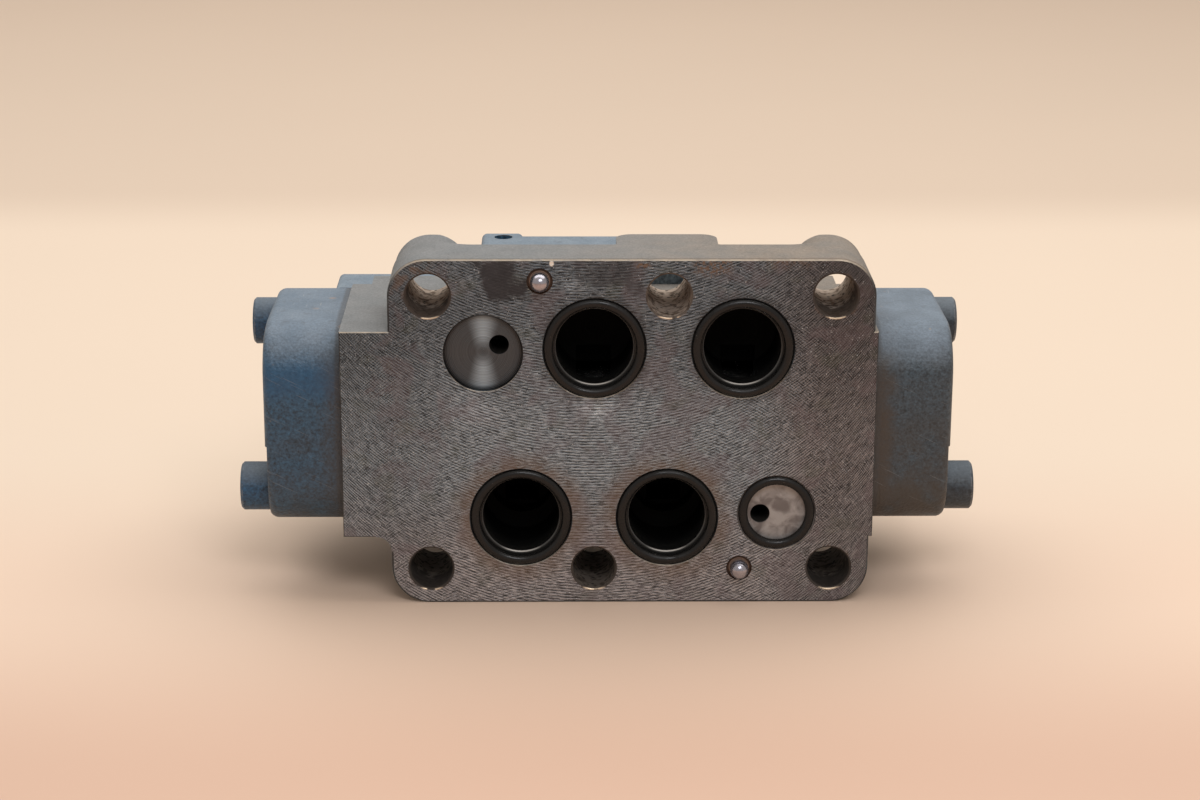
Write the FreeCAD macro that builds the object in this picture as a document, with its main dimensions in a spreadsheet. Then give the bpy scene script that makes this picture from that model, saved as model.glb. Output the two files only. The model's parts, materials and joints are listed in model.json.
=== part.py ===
"""Main stage of a pilot-operated 4/3 directional spool valve, size 22, with an ISO 4401-08 face.

Row frame, in millimetres: X runs along the spool, Y runs from the mounting face (Y = 0) into the
valve, and Z is up as the valve lies on its long side. The origin is the centre of the four corner
bolts on the mounting face.
"""

import FreeCAD
import Part
import Sketcher
import os

Vector = FreeCAD.Vector
TURN_TO_Y = FreeCAD.Rotation(Vector(1, 0, 0), -90)
TURN_TO_MINUS_Y = FreeCAD.Rotation(Vector(1, 0, 0), 90)
TURN_TO_X = FreeCAD.Rotation(Vector(0, 1, 0), 90)
TURN_TO_MINUS_X = FreeCAD.Rotation(Vector(0, 1, 0), -90)
TURN_TO_MINUS_Z = FreeCAD.Rotation(Vector(1, 0, 0), 180)

# Driving dimensions: name, millimetres. Positions are in the row frame.
SIZES = [
    # Hole pattern of the mounting face
    ("bolt_x", 65.1),
    ("bolt_z", 46.05),
    ("mid_bolt_x", 11.9),
    ("bolt_hole_radius", 7.0),
    ("bolt_mouth_chamfer", 0.6),
    ("port_row_z", 28.55),
    ("port_p_x", -11.9),
    ("port_t_x", 35.7),
    ("port_a_x", 11.9),
    ("port_b_x", -35.7),
    ("port_radius", 12.5),
    ("port_edge_chamfer", 0.6),
    ("port_wall_depth", 26.0),
    ("port_floor_cone", 1.5),
    ("slot_half_width", 5.75),
    ("upper_slot_start", 10.0),
    ("upper_slot_end", 34.0),
    ("upper_slot_high_z", 22.5),
    ("upper_slot_low_z", 8.0),
    ("throat_radius", 10.5),
    ("throat_rise", 3.3),
    ("throat_end", 34.0),
    ("lower_slot_start", 30.0),
    ("lower_slot_end", 50.0),
    ("lower_slot_high_z", -12.0),
    ("lower_slot_low_z", -34.0),
    ("port_recess_radius", 16.4),
    ("recess_mouth_chamfer", 0.4),
    ("recess_depth", 2.4),
    ("pilot_port_x", 47.6),
    ("pilot_port_z", 27.05),
    ("pilot_recess_radius", 12.5),
    ("pilot_drill_radius", 3.2),
    ("drain_drill_x", -42.5),
    ("drain_drill_z", 29.35),
    ("supply_drill_x", 42.4),
    ("supply_drill_z", -28.05),
    ("upper_pin_x", -29.4),
    ("upper_pin_z", 50.85),
    ("lower_pin_x", 35.7),
    ("lower_pin_z", -46.05),
    ("pin_radius", 3.0),
    ("pin_shank_radius", 3.3),
    ("pin_mouth_radius", 4.0),
    ("pin_mouth_chamfer", 0.2),
    ("pin_mouth_depth", 0.8),
    ("pin_depth", 9.5),
    ("pin_stand_out", 5.0),
    ("pin_dome", 2.85),
    ("pin_end_chamfer", 0.5),
    # Seal rings
    ("port_seal_cord", 1.5),
    ("pilot_seal_cord", 1.5),
    ("seal_side_gap", 0.06),
    # Flange and bosses
    ("flange_half_width", 78.0),
    ("flange_half_height", 58.05),
    ("flange_corner", 12.5),
    ("flange_thickness", 20.0),
    ("boss_radius", 12.3),
    ("boss_depth", 34.5),
    ("boss_flare", 6.0),
    ("boss_end_chamfer", 0.8),
    ("root_overlap", 2.0),
    ("mid_boss_half_width", 16.5),
    ("mid_boss_height", 24.0),
    ("mid_boss_round", 5.5),
    ("mid_boss_flare", 1.0),
    ("edge_break", 0.6),
    # Spool block
    ("spool_y", 45.0),
    ("spool_z", -0.55),
    ("block_left_x", -93.6),
    ("block_right_x", 79.1),
    ("block_half_height", 34.65),
    ("block_depth", 92.0),
    ("block_far_round", 21.0),
    ("block_top_round", 34.0),
    ("crown_left_x", -87.0),
    ("crown_right_x", 71.5),
    ("crown_start", 30.0),
    ("shoulder_fillet", 5.0),
    ("lobe_wall", 5.5),
    ("lobe_depth", 62.0),
    ("lobe_round", 4.0),
    # Pedestal that carries the pilot adapter
    ("deck_x", -11.9),
    ("deck_half", 39.0),
    ("pedestal_start", 62.0),
    ("deck_round", 2.0),
    # Spool bore
    ("bore_radius", 16.0),
    ("chamber_radius", 19.0),
    ("chamber_half_width", 6.25),
    ("chamber_pitch", 23.8),
    ("end_chamber_radius", 18.0),
    ("end_chamber_depth", 14.0),
    ("tank_bridge_y", 80.0),
    ("tank_bridge_radius", 6.0),
    ("tank_riser_start", 15.0),
    ("gallery_radius", 2.5),
    ("riser_radius", 2.2),
    ("channel_riser_radius", 1.9),
    ("gallery_overrun", 3.5),
    ("gallery_y", 80.0),
    ("gallery_offset_z", 10.0),
    ("line_end_inset", 10.5),
    ("line_end_lift", 6.0),
    ("supply_gallery_y", 73.0),
    ("supply_gallery_z", -29.5),
    ("plug_radius", 4.0),
    ("supply_plug_radius", 3.5),
    ("supply_plug_length", 6.0),
    ("plug_length", 7.0),
    ("plug_inset", 0.3),
    ("plug_clearance", 0.02),
    # Spool
    ("spool_clearance", 0.04),
    ("neck_radius", 12.5),
    ("land_overlap", 2.25),
    ("land_chamfer", 0.4),
    # End covers
    ("cover_thickness", 25.4),
    ("cover_near_y", 4.0),
    ("cover_far_y", 88.5),
    ("cover_half_height", 34.0),
    ("cover_near_round", 17.0),
    ("cover_far_round", 33.5),
    ("cover_edge_round", 3.0),
    ("cover_recess_depth", 14.0),
    ("cover_seat_step", 0.7),
    ("near_seat_edge_y", 45.5),
    ("near_seat_edge_z", -6.05),
    ("far_seat_edge_y", 47.5),
    ("far_seat_edge_z", 1.95),
    ("cover_seal_inner", 19.6),
    ("cover_seal_outer", 23.2),
    ("cover_seal_cord", 1.2),
    # Springs and seats
    ("seat_thickness", 4.0),
    ("seat_radius", 15.4),
    ("seat_hub_radius", 10.2),
    ("seat_hub_length", 5.0),
    ("seat_hub_chamfer", 1.0),
    ("spring_radius", 12.4),
    ("spring_wire", 1.5),
    ("spring_turns", 5.0),
    ("spring_end_gap", 0.05),
    # Cover screws (M10) and their places
    ("screw_near_y", 20.0),
    ("screw_far_y", 71.0),
    ("proud_near_z", -24.05),
    ("proud_far_z", 18.95),
    ("sunk_near_z", 22.95),
    ("sunk_far_y", 70.0),
    ("sunk_far_z", -18.5),
    ("cover_screw_radius", 4.9),
    ("cover_screw_hole", 5.5),
    ("cover_screw_thread", 5.0),
    ("cover_screw_head", 8.0),
    ("cover_screw_head_height", 10.0),
    ("cover_screw_bite", 20.0),
    ("thread_runout", 3.0),
    ("sunk_screw_pocket", 9.0),
    ("sunk_screw_depth", 11.0),
    # Pilot adapter on the pedestal
    ("adapter_height", 20.0),
    ("strip_height", 25.0),
    ("strip_right_x", -36.1),
    ("wing_left_x", -102.6),
    ("wing_half", 24.0),
    ("wing_lift", 4.5),
    ("adapter_screw_x", 18.0),
    ("adapter_screw_z", 31.0),
    ("adapter_screw_radius", 3.9),
    ("adapter_screw_head", 6.5),
    ("adapter_screw_head_height", 8.0),
    ("adapter_screw_depth", 9.0),
    ("adapter_screw_bite", 12.5),
    ("adapter_thread_gap", 0.1),
    ("adapter_hole_gap", 0.6),
    ("adapter_pocket_gap", 0.5),
    ("side_hole_x", -43.1),
    ("side_hole_y", 111.0),
    ("side_hole_radius", 3.25),
    ("side_hole_depth", 34.0),
    ("side_plug_inset", 9.0),
    ("side_plug_length", 4.0),
    ("cross_gallery_y", 106.0),
    # Pilot interface and its cover plate
    ("pilot_x", -4.5),
    ("pilot_port_pitch", 10.0),
    ("pilot_channel_radius", 2.5),
    ("plate_half_length", 30.0),
    ("plate_half_width", 23.0),
    ("plate_thickness", 22.0),
    ("plate_round", 3.0),
    ("plate_screw_x", 20.25),
    ("plate_screw_z", 15.5),
    ("plate_screw_radius", 2.45),
    ("plate_screw_head", 4.25),
    ("plate_screw_head_height", 5.0),
    ("plate_screw_depth", 6.0),
    ("plate_screw_bite", 8.0),
    ("plate_thread_gap", 0.05),
    ("plate_hole_gap", 0.3),
    ("plate_pocket_gap", 0.35),
    ("small_seal_radius", 4.9),
    ("small_seal_cord", 0.9),
    ("small_seal_gap", 0.05),
    # Blank name plate
    ("name_plate_half_length", 20.0),
    ("name_plate_half_width", 8.0),
    ("name_plate_thickness", 0.8),
    ("rivet_inset", 3.0),
    ("rivet_radius", 1.2),
    ("rivet_hole_gap", 0.05),
    ("rivet_head_overhang", 0.9),
    ("rivet_head_height", 1.0),
    ("rivet_head_round", 0.7),
    # Shared by all cutting tools and screws
    ("overrun", 1.0),
]
# Proportions of a socket head screw and of a socket plug
HEAD_CHAMFER_SHARE = 0.07
SOCKET_ACROSS_FLATS = 1.63
SOCKET_DEPTH_SHARE = 0.55
PLUG_ACROSS_FLATS = 1.1
PLUG_SOCKET_SHARE = 0.5
HEXAGON_CORNER = 0.57735
SMALLEST_CHANGE = 1e-6

doc = FreeCAD.newDocument("directional_valve")
sheet = doc.addObject("Spreadsheet::Sheet", "Sizes")
for row, (alias, number) in enumerate(SIZES, start=1):
    sheet.set(f"A{row}", alias)
    sheet.set(f"B{row}", str(number))
    sheet.setAlias(f"B{row}", alias)
doc.recompute()


class Dim:
    """A length that carries its number and the sheet expression it comes from."""

    def __init__(self, number, text):
        self.number = number
        self.text = text

    def __add__(self, other):
        other = as_dim(other)
        return Dim(self.number + other.number, f"({self.text} + {other.text})")

    def __sub__(self, other):
        other = as_dim(other)
        return Dim(self.number - other.number, f"({self.text} - {other.text})")

    def __mul__(self, factor):
        return Dim(self.number * factor, f"({self.text} * {factor})")

    def __neg__(self):
        return self * -1


def as_dim(value):
    """A Dim as it is, or a plain number as a Dim."""
    if isinstance(value, Dim):
        return value
    return Dim(float(value), str(float(value)))


def dim(alias):
    """The sheet's cell of that name."""
    return Dim(float(sheet.get(alias)), f"Sizes.{alias}")


def bind(thing, path, value):
    """Binds one property of an object to a Dim."""
    thing.setExpression(path, as_dim(value).text)


def place(thing, position, rotation=None):
    """Gives an object its Placement: a bound position and, where needed, a turn."""
    numbers = Vector(*[as_dim(value).number for value in position])
    thing.Placement = FreeCAD.Placement(numbers, rotation or FreeCAD.Rotation())
    for axis, value in zip("xyz", position):
        bind(thing, f"Placement.Base.{axis}", value)
    return thing


# --- PartDesign helpers ---------------------------------------------------------------------------


def new_body(name):
    body = doc.addObject("PartDesign::Body", name)
    body.Label = name
    return body


def new_sketch(body, name, role, offset=(0, 0, 0)):
    """A sketch on one of the body's origin planes. The offset is along the sketch's own axes."""
    sketch = body.newObject("Sketcher::SketchObject", name)
    plane = [feature for feature in body.Origin.OriginFeatures if feature.Role == role][0]
    sketch.AttachmentSupport = [(plane, "")]
    sketch.MapMode = "FlatFace"
    for axis, value in zip("xyz", offset):
        bind(sketch, f"AttachmentOffset.Base.{axis}", value)
    return sketch


def fix_point(sketch, geometry, point, x, y):
    """Holds a point of the sketch at x, y from its origin."""
    for kind, value in (("DistanceX", x), ("DistanceY", y)):
        number = as_dim(value).number
        index = sketch.addConstraint(Sketcher.Constraint(kind, -1, 1, geometry, point, number))
        bind(sketch, f"Constraints[{index}]", value)


def draw_outline(sketch, corners):
    """A closed outline of straight lines through the corners."""
    points = [Vector(as_dim(x).number, as_dim(y).number, 0) for x, y in corners]
    first = sketch.GeometryCount
    count = len(points)
    for i in range(count):
        sketch.addGeometry(Part.LineSegment(points[i], points[(i + 1) % count]), False)
    for i in range(count):
        after = first + (i + 1) % count
        sketch.addConstraint(Sketcher.Constraint("Coincident", first + i, 2, after, 1))
    for i, (x, y) in enumerate(corners):
        fix_point(sketch, first + i, 1, x, y)


def draw_box(sketch, low_x, low_y, high_x, high_y):
    draw_outline(sketch, [(low_x, low_y), (high_x, low_y), (high_x, high_y), (low_x, high_y)])


def draw_circle(sketch, x, y, radius):
    centre = Vector(as_dim(x).number, as_dim(y).number, 0)
    size = as_dim(radius).number
    index = sketch.addGeometry(Part.Circle(centre, Vector(0, 0, 1), size), False)
    fix_point(sketch, index, 3, x, y)
    held = sketch.addConstraint(Sketcher.Constraint("Radius", index, size))
    bind(sketch, f"Constraints[{held}]", radius)


def draw_hexagon(sketch, across_flats):
    """A regular hexagon about the sketch's origin, corners on the sketch's Y axis."""
    half = across_flats * 0.5
    corner = across_flats * HEXAGON_CORNER
    side = corner * 0.5
    draw_outline(
        sketch,
        [(half, -side), (half, side), (0, corner), (-half, side), (-half, -side), (0, -corner)],
    )


def extrude(body, kind, name, sketch, length, reversed_way=False):
    """A Pad or a Pocket. A Pocket has to remove something, and a Pad to add something."""
    before = body.Shape.Volume if body.Tip else 0.0
    feature = body.newObject(f"PartDesign::{kind}", name)
    feature.Profile = sketch
    bind(feature, "Length", length)
    feature.Reversed = reversed_way
    doc.recompute()
    change = body.Shape.Volume - before
    if (change > 0) != (kind == "Pad") or abs(change) < SMALLEST_CHANGE:
        raise RuntimeError(f"{body.Name} {name} changed the volume by {change}")
    return feature


def revolve(body, name, outline, offset=(0, 0, 0), axis="H_Axis"):
    """A solid of revolution. With H_Axis the outline holds (x, radius) and turns about an axis along X.
    With V_Axis it holds (radius, y) and turns about an axis along Y."""
    sketch = new_sketch(body, f"{name}_outline", "XY_Plane", offset)
    draw_outline(sketch, outline)
    turned = body.newObject("PartDesign::Revolution", name)
    turned.Profile = sketch
    turned.ReferenceAxis = (sketch, [axis])
    turned.Angle = 360
    doc.recompute()
    return turned


def edges_that(shape, test):
    """Names of the edges that pass a test."""
    return [f"Edge{i}" for i, edge in enumerate(shape.Edges, start=1) if test(edge)]


def round_edges(body, name, radius, test):
    """A Fillet on the edges of the body's present shape that pass the test."""
    names = edges_that(body.Shape, test)
    if not names:
        raise RuntimeError(f"{body.Name} {name} has no edge to round")
    fillet = body.newObject("PartDesign::Fillet", name)
    fillet.Base = (body.Group[-2], names)
    bind(fillet, "Radius", radius)
    doc.recompute()
    return fillet


def chamfer_edges(body, name, size, test):
    """A Chamfer on the edges of the body's present shape that pass the test."""
    names = edges_that(body.Shape, test)
    if not names:
        raise RuntimeError(f"{body.Name} {name} has no edge to chamfer")
    chamfer = body.newObject("PartDesign::Chamfer", name)
    chamfer.Base = (body.Group[-2], names)
    bind(chamfer, "Size", size)
    doc.recompute()
    return chamfer


def along(edge, axis):
    """True for a straight edge that runs along the axis."""
    if not isinstance(edge.Curve, (Part.Line, Part.LineSegment)):
        return False
    return abs(abs(edge.tangentAt(edge.FirstParameter).dot(axis)) - 1.0) < SMALLEST_CHANGE


def round_at(edge, y, radius):
    """True for a full circle about an axis along Y, at that height and of that radius."""
    if not isinstance(edge.Curve, Part.Circle) or not edge.isClosed():
        return False
    return near(edge.Curve.Center.y, y.number) and near(edge.Curve.Radius, radius.number)


def near(value, target, slack=0.01):
    return abs(value - target) < slack


# --- Part workbench helpers -----------------------------------------------------------------------


def rod(name, radius, length, position, rotation=None):
    """A cylinder from a point. With no turn it runs along +Z."""
    cylinder = doc.addObject("Part::Cylinder", name)
    bind(cylinder, "Radius", radius)
    bind(cylinder, "Height", length)
    return place(cylinder, position, rotation)


def join(name, pieces):
    fused = doc.addObject("Part::MultiFuse", name)
    fused.Shapes = pieces
    doc.recompute()
    return fused


def overlap(name, pieces):
    common = doc.addObject("Part::MultiCommon", name)
    common.Shapes = pieces
    doc.recompute()
    return common


def cut(name, base, tool):
    result = doc.addObject("Part::Cut", name)
    result.Base = base
    result.Tool = tool
    doc.recompute()
    return result


def group(name, pieces):
    """Separate solids that share one node."""
    compound = doc.addObject("Part::Compound", name)
    compound.Label = name
    compound.Links = pieces
    doc.recompute()
    return compound


def cap_screw(name, size, head, head_height, shank, position, rotation):
    """A socket head cap screw. Its own frame has the underside of the head at 0 and the head towards +Z."""
    body = new_body(name)
    reach = as_dim(head_height)
    break_size = reach * HEAD_CHAMFER_SHARE
    outline = [
        (0, -shank),
        (size - break_size, -shank),
        (size, break_size - shank),
        (size, 0),
        (head, 0),
        (head, reach - break_size),
        (head - break_size, reach),
        (0, reach),
    ]
    turned = new_sketch(body, f"{name}_outline", "XZ_Plane")
    draw_outline(turned, outline)
    solid = body.newObject("PartDesign::Revolution", f"{name}_solid")
    solid.Profile = turned
    solid.ReferenceAxis = (turned, ["V_Axis"])
    solid.Angle = 360
    doc.recompute()
    socket = new_sketch(body, f"{name}_socket_outline", "XY_Plane", (0, 0, reach))
    draw_hexagon(socket, as_dim(size) * SOCKET_ACROSS_FLATS)
    extrude(body, "Pocket", f"{name}_socket", socket, reach * SOCKET_DEPTH_SHARE)
    place(body, position, rotation)
    return body


def plug_screw(name, radius, length, position, rotation):
    """A blank plug with a hexagon socket. Its own frame has its outer face at 0 and its body towards -Z."""
    body = new_body(name)
    sketch = new_sketch(body, f"{name}_outline", "XY_Plane")
    draw_circle(sketch, 0, 0, radius)
    extrude(body, "Pad", f"{name}_solid", sketch, length, True)
    socket = new_sketch(body, f"{name}_socket_outline", "XY_Plane")
    draw_hexagon(socket, as_dim(radius) * PLUG_ACROSS_FLATS)
    extrude(body, "Pocket", f"{name}_socket", socket, as_dim(length) * PLUG_SOCKET_SHARE)
    place(body, position, rotation)
    return body


def ring(name, mid_radius, cord, position, rotation):
    """An O-ring. With no turn it lies in a plane square to Z."""
    torus = doc.addObject("Part::Torus", name)
    torus.Label = name
    bind(torus, "Radius1", mid_radius)
    bind(torus, "Radius2", cord)
    return place(torus, position, rotation)


# --- Derived places -------------------------------------------------------------------------------

spool_axis = (0, dim("spool_y"), dim("spool_z"))
left_bore_x = dim("block_left_x") + dim("end_chamber_depth")
right_bore_x = dim("block_right_x") - dim("end_chamber_depth")
chamber_centres = [dim("port_p_x") + dim("chamber_pitch") * step for step in (-2, -1, 0, 1, 2)]
deck_face_y = dim("block_depth") + dim("adapter_height")
strip_face_y = dim("block_depth") + dim("strip_height")
left_line_x = dim("block_left_x") + dim("line_end_inset")
right_line_x = dim("block_right_x") - dim("line_end_inset")
pilot_left_x = dim("pilot_x") - dim("pilot_port_pitch")
pilot_right_x = dim("pilot_x") + dim("pilot_port_pitch")
gallery_z = dim("gallery_offset_z")


# --- Main housing ---------------------------------------------------------------------------------


def flange_solid():
    """The mounting flange: a rounded plate whose front face is the mounting face."""
    body = new_body("flange")
    width = dim("flange_half_width")
    height = dim("flange_half_height")
    sketch = new_sketch(body, "flange_outline", "XZ_Plane")
    draw_box(sketch, -width, -height, width, height)
    extrude(body, "Pad", "flange_plate", sketch, dim("flange_thickness"), True)
    round_edges(body, "flange_corners", dim("flange_corner"), lambda edge: along(edge, Vector(0, 1, 0)))
    chamfer_edges(
        body,
        "flange_front_break",
        dim("edge_break"),
        lambda edge: near(edge.BoundBox.YMin, 0) and near(edge.BoundBox.YMax, 0),
    )
    return body


def bolt_boss(name, x, z):
    """A round boss behind a bolt hole, flared into the flange."""
    body = new_body(name)
    root = dim("flange_thickness")
    start = root - dim("root_overlap")
    end = dim("boss_depth")
    radius = dim("boss_radius")
    foot = radius + dim("boss_flare") + dim("overrun")
    bevel = dim("boss_end_chamfer")
    outline = [(0, start), (foot, start), (foot, root), (radius, root)]
    outline += [(radius, end - bevel), (radius - bevel, end), (0, end)]
    revolve(body, f"{name}_solid", outline, (x, 0, z), "V_Axis")
    round_edges(body, f"{name}_flare", dim("boss_flare"), lambda edge: round_at(edge, root, radius))
    return body


def mid_boss(name, x, side):
    """A flat-topped boss behind a middle bolt hole. The side is +1 for the upper and -1 for the lower one."""
    body = new_body(name)
    half = dim("mid_boss_half_width")
    foot = half + dim("mid_boss_flare") + dim("overrun")
    root = dim("flange_thickness")
    end = dim("boss_depth")
    height = dim("flange_half_height")
    inner = height - dim("mid_boss_height")
    low_z, high_z = (inner, height) if side > 0 else (-height, -inner)
    low_y = root - dim("root_overlap")
    outline = [(x - foot, low_y), (x + foot, low_y), (x + foot, root), (x + half, root)]
    outline += [(x + half, end), (x - half, end), (x - half, root), (x - foot, root)]
    sketch = new_sketch(body, f"{name}_outline", "XY_Plane", (0, 0, low_z))
    draw_outline(sketch, outline)
    extrude(body, "Pad", f"{name}_solid", sketch, high_z - low_z)
    along_z = Vector(0, 0, 1)
    flare_sides = ((x - half).number, (x + half).number)
    round_edges(
        body,
        f"{name}_flare",
        dim("mid_boss_flare"),
        lambda edge: along(edge, along_z)
        and near(edge.BoundBox.YMax, root.number)
        and any(near(edge.BoundBox.XMax, side_x) for side_x in flare_sides),
    )
    round_edges(
        body,
        f"{name}_top",
        dim("mid_boss_round"),
        lambda edge: along(edge, along_z) and near(edge.BoundBox.YMax, end.number),
    )
    return body


def flange_envelope():
    """The prism of the flange's outline, which trims the bosses."""
    body = new_body("flange_envelope")
    width = dim("flange_half_width")
    height = dim("flange_half_height")
    sketch = new_sketch(body, "envelope_outline", "XZ_Plane", (0, 0, -dim("edge_break") * 2))
    draw_box(sketch, -width, -height, width, height)
    extrude(body, "Pad", "envelope_solid", sketch, dim("boss_depth"), True)
    round_edges(body, "envelope_corners", dim("flange_corner"), lambda edge: along(edge, Vector(0, 1, 0)))
    return body


def spool_block():
    """The long block around the spool bore, rounded at its far corners and more so at the top."""
    body = new_body("spool_block")
    middle = dim("spool_z")
    half = dim("block_half_height")
    start = dim("block_left_x")
    sketch = new_sketch(body, "block_section", "YZ_Plane", (0, 0, start))
    draw_box(sketch, 0, middle - half, dim("block_depth"), middle + half)
    extrude(body, "Pad", "block_solid", sketch, dim("block_right_x") - start)
    depth = dim("block_depth").number
    for name, radius, level in (
        ("block_low_corner", dim("block_far_round"), middle - half),
        ("block_top_corner", dim("block_top_round"), middle + half),
    ):
        round_edges(
            body,
            name,
            radius,
            lambda edge, level=level: along(edge, Vector(1, 0, 0))
            and near(edge.BoundBox.YMax, depth)
            and near(edge.BoundBox.ZMax, level.number),
        )
    chamfer_edges(
        body,
        "block_front_break",
        dim("edge_break") * 0.5,
        lambda edge: near(edge.BoundBox.YMin, 0) and near(edge.BoundBox.YMax, 0),
    )
    return body


def block_crown():
    """The fuller far corner of the block between its two ends."""
    body = new_body("block_crown")
    middle = dim("spool_z")
    start = dim("crown_left_x")
    sketch = new_sketch(body, "crown_section", "YZ_Plane", (0, 0, start))
    top = middle + dim("block_half_height")
    draw_box(sketch, dim("crown_start"), middle, dim("block_depth"), top)
    extrude(body, "Pad", "crown_solid", sketch, dim("crown_right_x") - start)
    depth = dim("block_depth").number
    level = top.number
    round_edges(
        body,
        "crown_far_corner",
        dim("block_far_round"),
        lambda edge: along(edge, Vector(1, 0, 0))
        and near(edge.BoundBox.YMax, depth)
        and near(edge.BoundBox.ZMax, level),
    )
    return body


def port_lobe(name, x, z):
    """The round swelling of the casting behind one main port."""
    body = new_body(name)
    radius = dim("port_radius") + dim("lobe_wall")
    start = dim("flange_thickness") - dim("root_overlap")
    end = dim("lobe_depth")
    outline = [(0, start), (radius, start), (radius, end), (0, end)]
    revolve(body, f"{name}_solid", outline, (x, 0, z), "V_Axis")
    round_edges(body, f"{name}_end", dim("lobe_round"), lambda edge: round_at(edge, end, radius))
    return body


def pedestal():
    """The square pad of the casting under the pilot adapter."""
    body = new_body("pedestal")
    half = dim("deck_half")
    centre = dim("deck_x")
    sketch = new_sketch(body, "pedestal_outline", "XZ_Plane", (0, 0, -dim("pedestal_start")))
    draw_box(sketch, centre - half, -half, centre + half, half)
    extrude(body, "Pad", "pedestal_solid", sketch, dim("block_depth") - dim("pedestal_start"), True)
    round_edges(body, "pedestal_corners", dim("deck_round"), lambda edge: along(edge, Vector(0, 1, 0)))
    return body


def shoulder_web():
    """The cast fillet under the left shoulder, between the spool block and the flange's edge."""
    body = new_body("shoulder_web")
    corner_x = -dim("flange_half_width")
    corner_z = dim("spool_z") - dim("block_half_height")
    size = dim("shoulder_fillet")
    inset = dim("overrun")
    depth = dim("flange_thickness")
    sketch = new_sketch(body, "web_outline", "XZ_Plane")
    draw_box(sketch, corner_x - size, corner_z - size, corner_x + inset, corner_z + inset)
    extrude(body, "Pad", "web_solid", sketch, depth, True)
    hollow = new_sketch(body, "web_hollow_outline", "XZ_Plane")
    draw_circle(hollow, corner_x - size, corner_z - size, size)
    extrude(body, "Pocket", "web_hollow", hollow, depth)
    return body


def drilled_hole(name, x, z, outline):
    """A stepped hole from the mounting face. The outline holds (radius, depth)."""
    body = new_body(name)
    revolve(body, f"{name}_solid", outline, (x, 0, z), "V_Axis")
    return body


def bolt_hole(name, x, z):
    radius = dim("bolt_hole_radius")
    bevel = dim("bolt_mouth_chamfer")
    front = -dim("overrun")
    back = dim("boss_depth") + dim("overrun")
    mouth = radius + bevel
    outline = [(0, front), (mouth, front), (mouth, 0), (radius, bevel), (radius, back), (0, back)]
    return drilled_hole(name, x, z, outline)


def recess_mouth(radius):
    """The first points of a seal recess's outline, from its axis to the edge of its floor."""
    bevel = dim("recess_mouth_chamfer")
    front = -dim("overrun")
    mouth = radius + bevel
    return [(0, front), (mouth, front), (mouth, 0), (radius, bevel), (radius, dim("recess_depth"))]


def port_hole(name, x, z):
    """A main port: a seal recess, then a machined wall that ends in a shallow cone."""
    radius = dim("port_radius")
    edge = dim("port_edge_chamfer")
    floor = dim("recess_depth")
    wall_end = dim("port_wall_depth")
    outline = recess_mouth(dim("port_recess_radius")) + [(radius + edge, floor), (radius, floor + edge)]
    outline += [(radius, wall_end), (0, wall_end + dim("port_floor_cone"))]
    return drilled_hole(name, x, z, outline)


def cored_slot(name, x, low_y, high_y, low_z, high_z):
    """A flat-sided cored passage, as wide as a chamber of the spool bore is long."""
    body = new_body(name)
    half = dim("slot_half_width")
    sketch = new_sketch(body, f"{name}_outline", "XZ_Plane", (0, 0, -low_y))
    draw_box(sketch, x - half, low_z, x + half, high_z)
    extrude(body, "Pad", f"{name}_solid", sketch, high_y - low_y, True)
    return body


def port_passages():
    """The cored ways from the ports to their chambers: below P and T, and above A and B."""
    tools = []
    for name, x in (("p", dim("port_p_x")), ("t", dim("port_t_x"))):
        tools.append(
            cored_slot(
                f"slot_{name}",
                x,
                dim("upper_slot_start"),
                dim("upper_slot_end"),
                dim("upper_slot_low_z"),
                dim("upper_slot_high_z"),
            )
        )
    start = dim("port_wall_depth") - dim("overrun")
    throat_z = dim("throat_rise") - dim("port_row_z")
    for name, x in (("a", dim("port_a_x")), ("b", dim("port_b_x"))):
        place_of_throat = (x, start, throat_z)
        run = dim("throat_end") - start
        tools.append(rod(f"throat_{name}", dim("throat_radius"), run, place_of_throat, TURN_TO_Y))
        tools.append(
            cored_slot(
                f"slot_{name}",
                x,
                dim("lower_slot_start"),
                dim("lower_slot_end"),
                dim("lower_slot_low_z"),
                dim("lower_slot_high_z"),
            )
        )
    return tools


def pilot_recess(name, x, z):
    outline = recess_mouth(dim("pilot_recess_radius")) + [(0, dim("recess_depth"))]
    return drilled_hole(name, x, z, outline)


def pin_hole(name, x, z):
    mouth = dim("pin_mouth_radius")
    bevel = dim("pin_mouth_chamfer")
    step = dim("pin_mouth_depth")
    shank = dim("pin_shank_radius")
    front = -dim("overrun")
    deep = dim("pin_depth")
    outline = [(0, front), (mouth + bevel, front), (mouth + bevel, 0), (mouth, bevel), (mouth, step)]
    outline += [(shank, step), (shank, deep), (0, deep)]
    return drilled_hole(name, x, z, outline)


def spool_bore():
    """The spool bore with its five annular chambers and the two end chambers, as one solid to cut away."""
    body = new_body("spool_bore")
    bore = dim("bore_radius")
    big = dim("chamber_radius")
    end = dim("end_chamber_radius")
    half = dim("chamber_half_width")
    left = dim("block_left_x")
    right = dim("block_right_x")
    past = dim("overrun")
    outline = [(left - past, 0), (left - past, end), (left_bore_x, end), (left_bore_x, bore)]
    for centre in chamber_centres:
        outline += [(centre - half, bore), (centre - half, big), (centre + half, big), (centre + half, bore)]
    outline += [(right_bore_x, bore), (right_bore_x, end), (right + past, end), (right + past, 0)]
    revolve(body, "bore_solid", outline, spool_axis)
    return body


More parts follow.
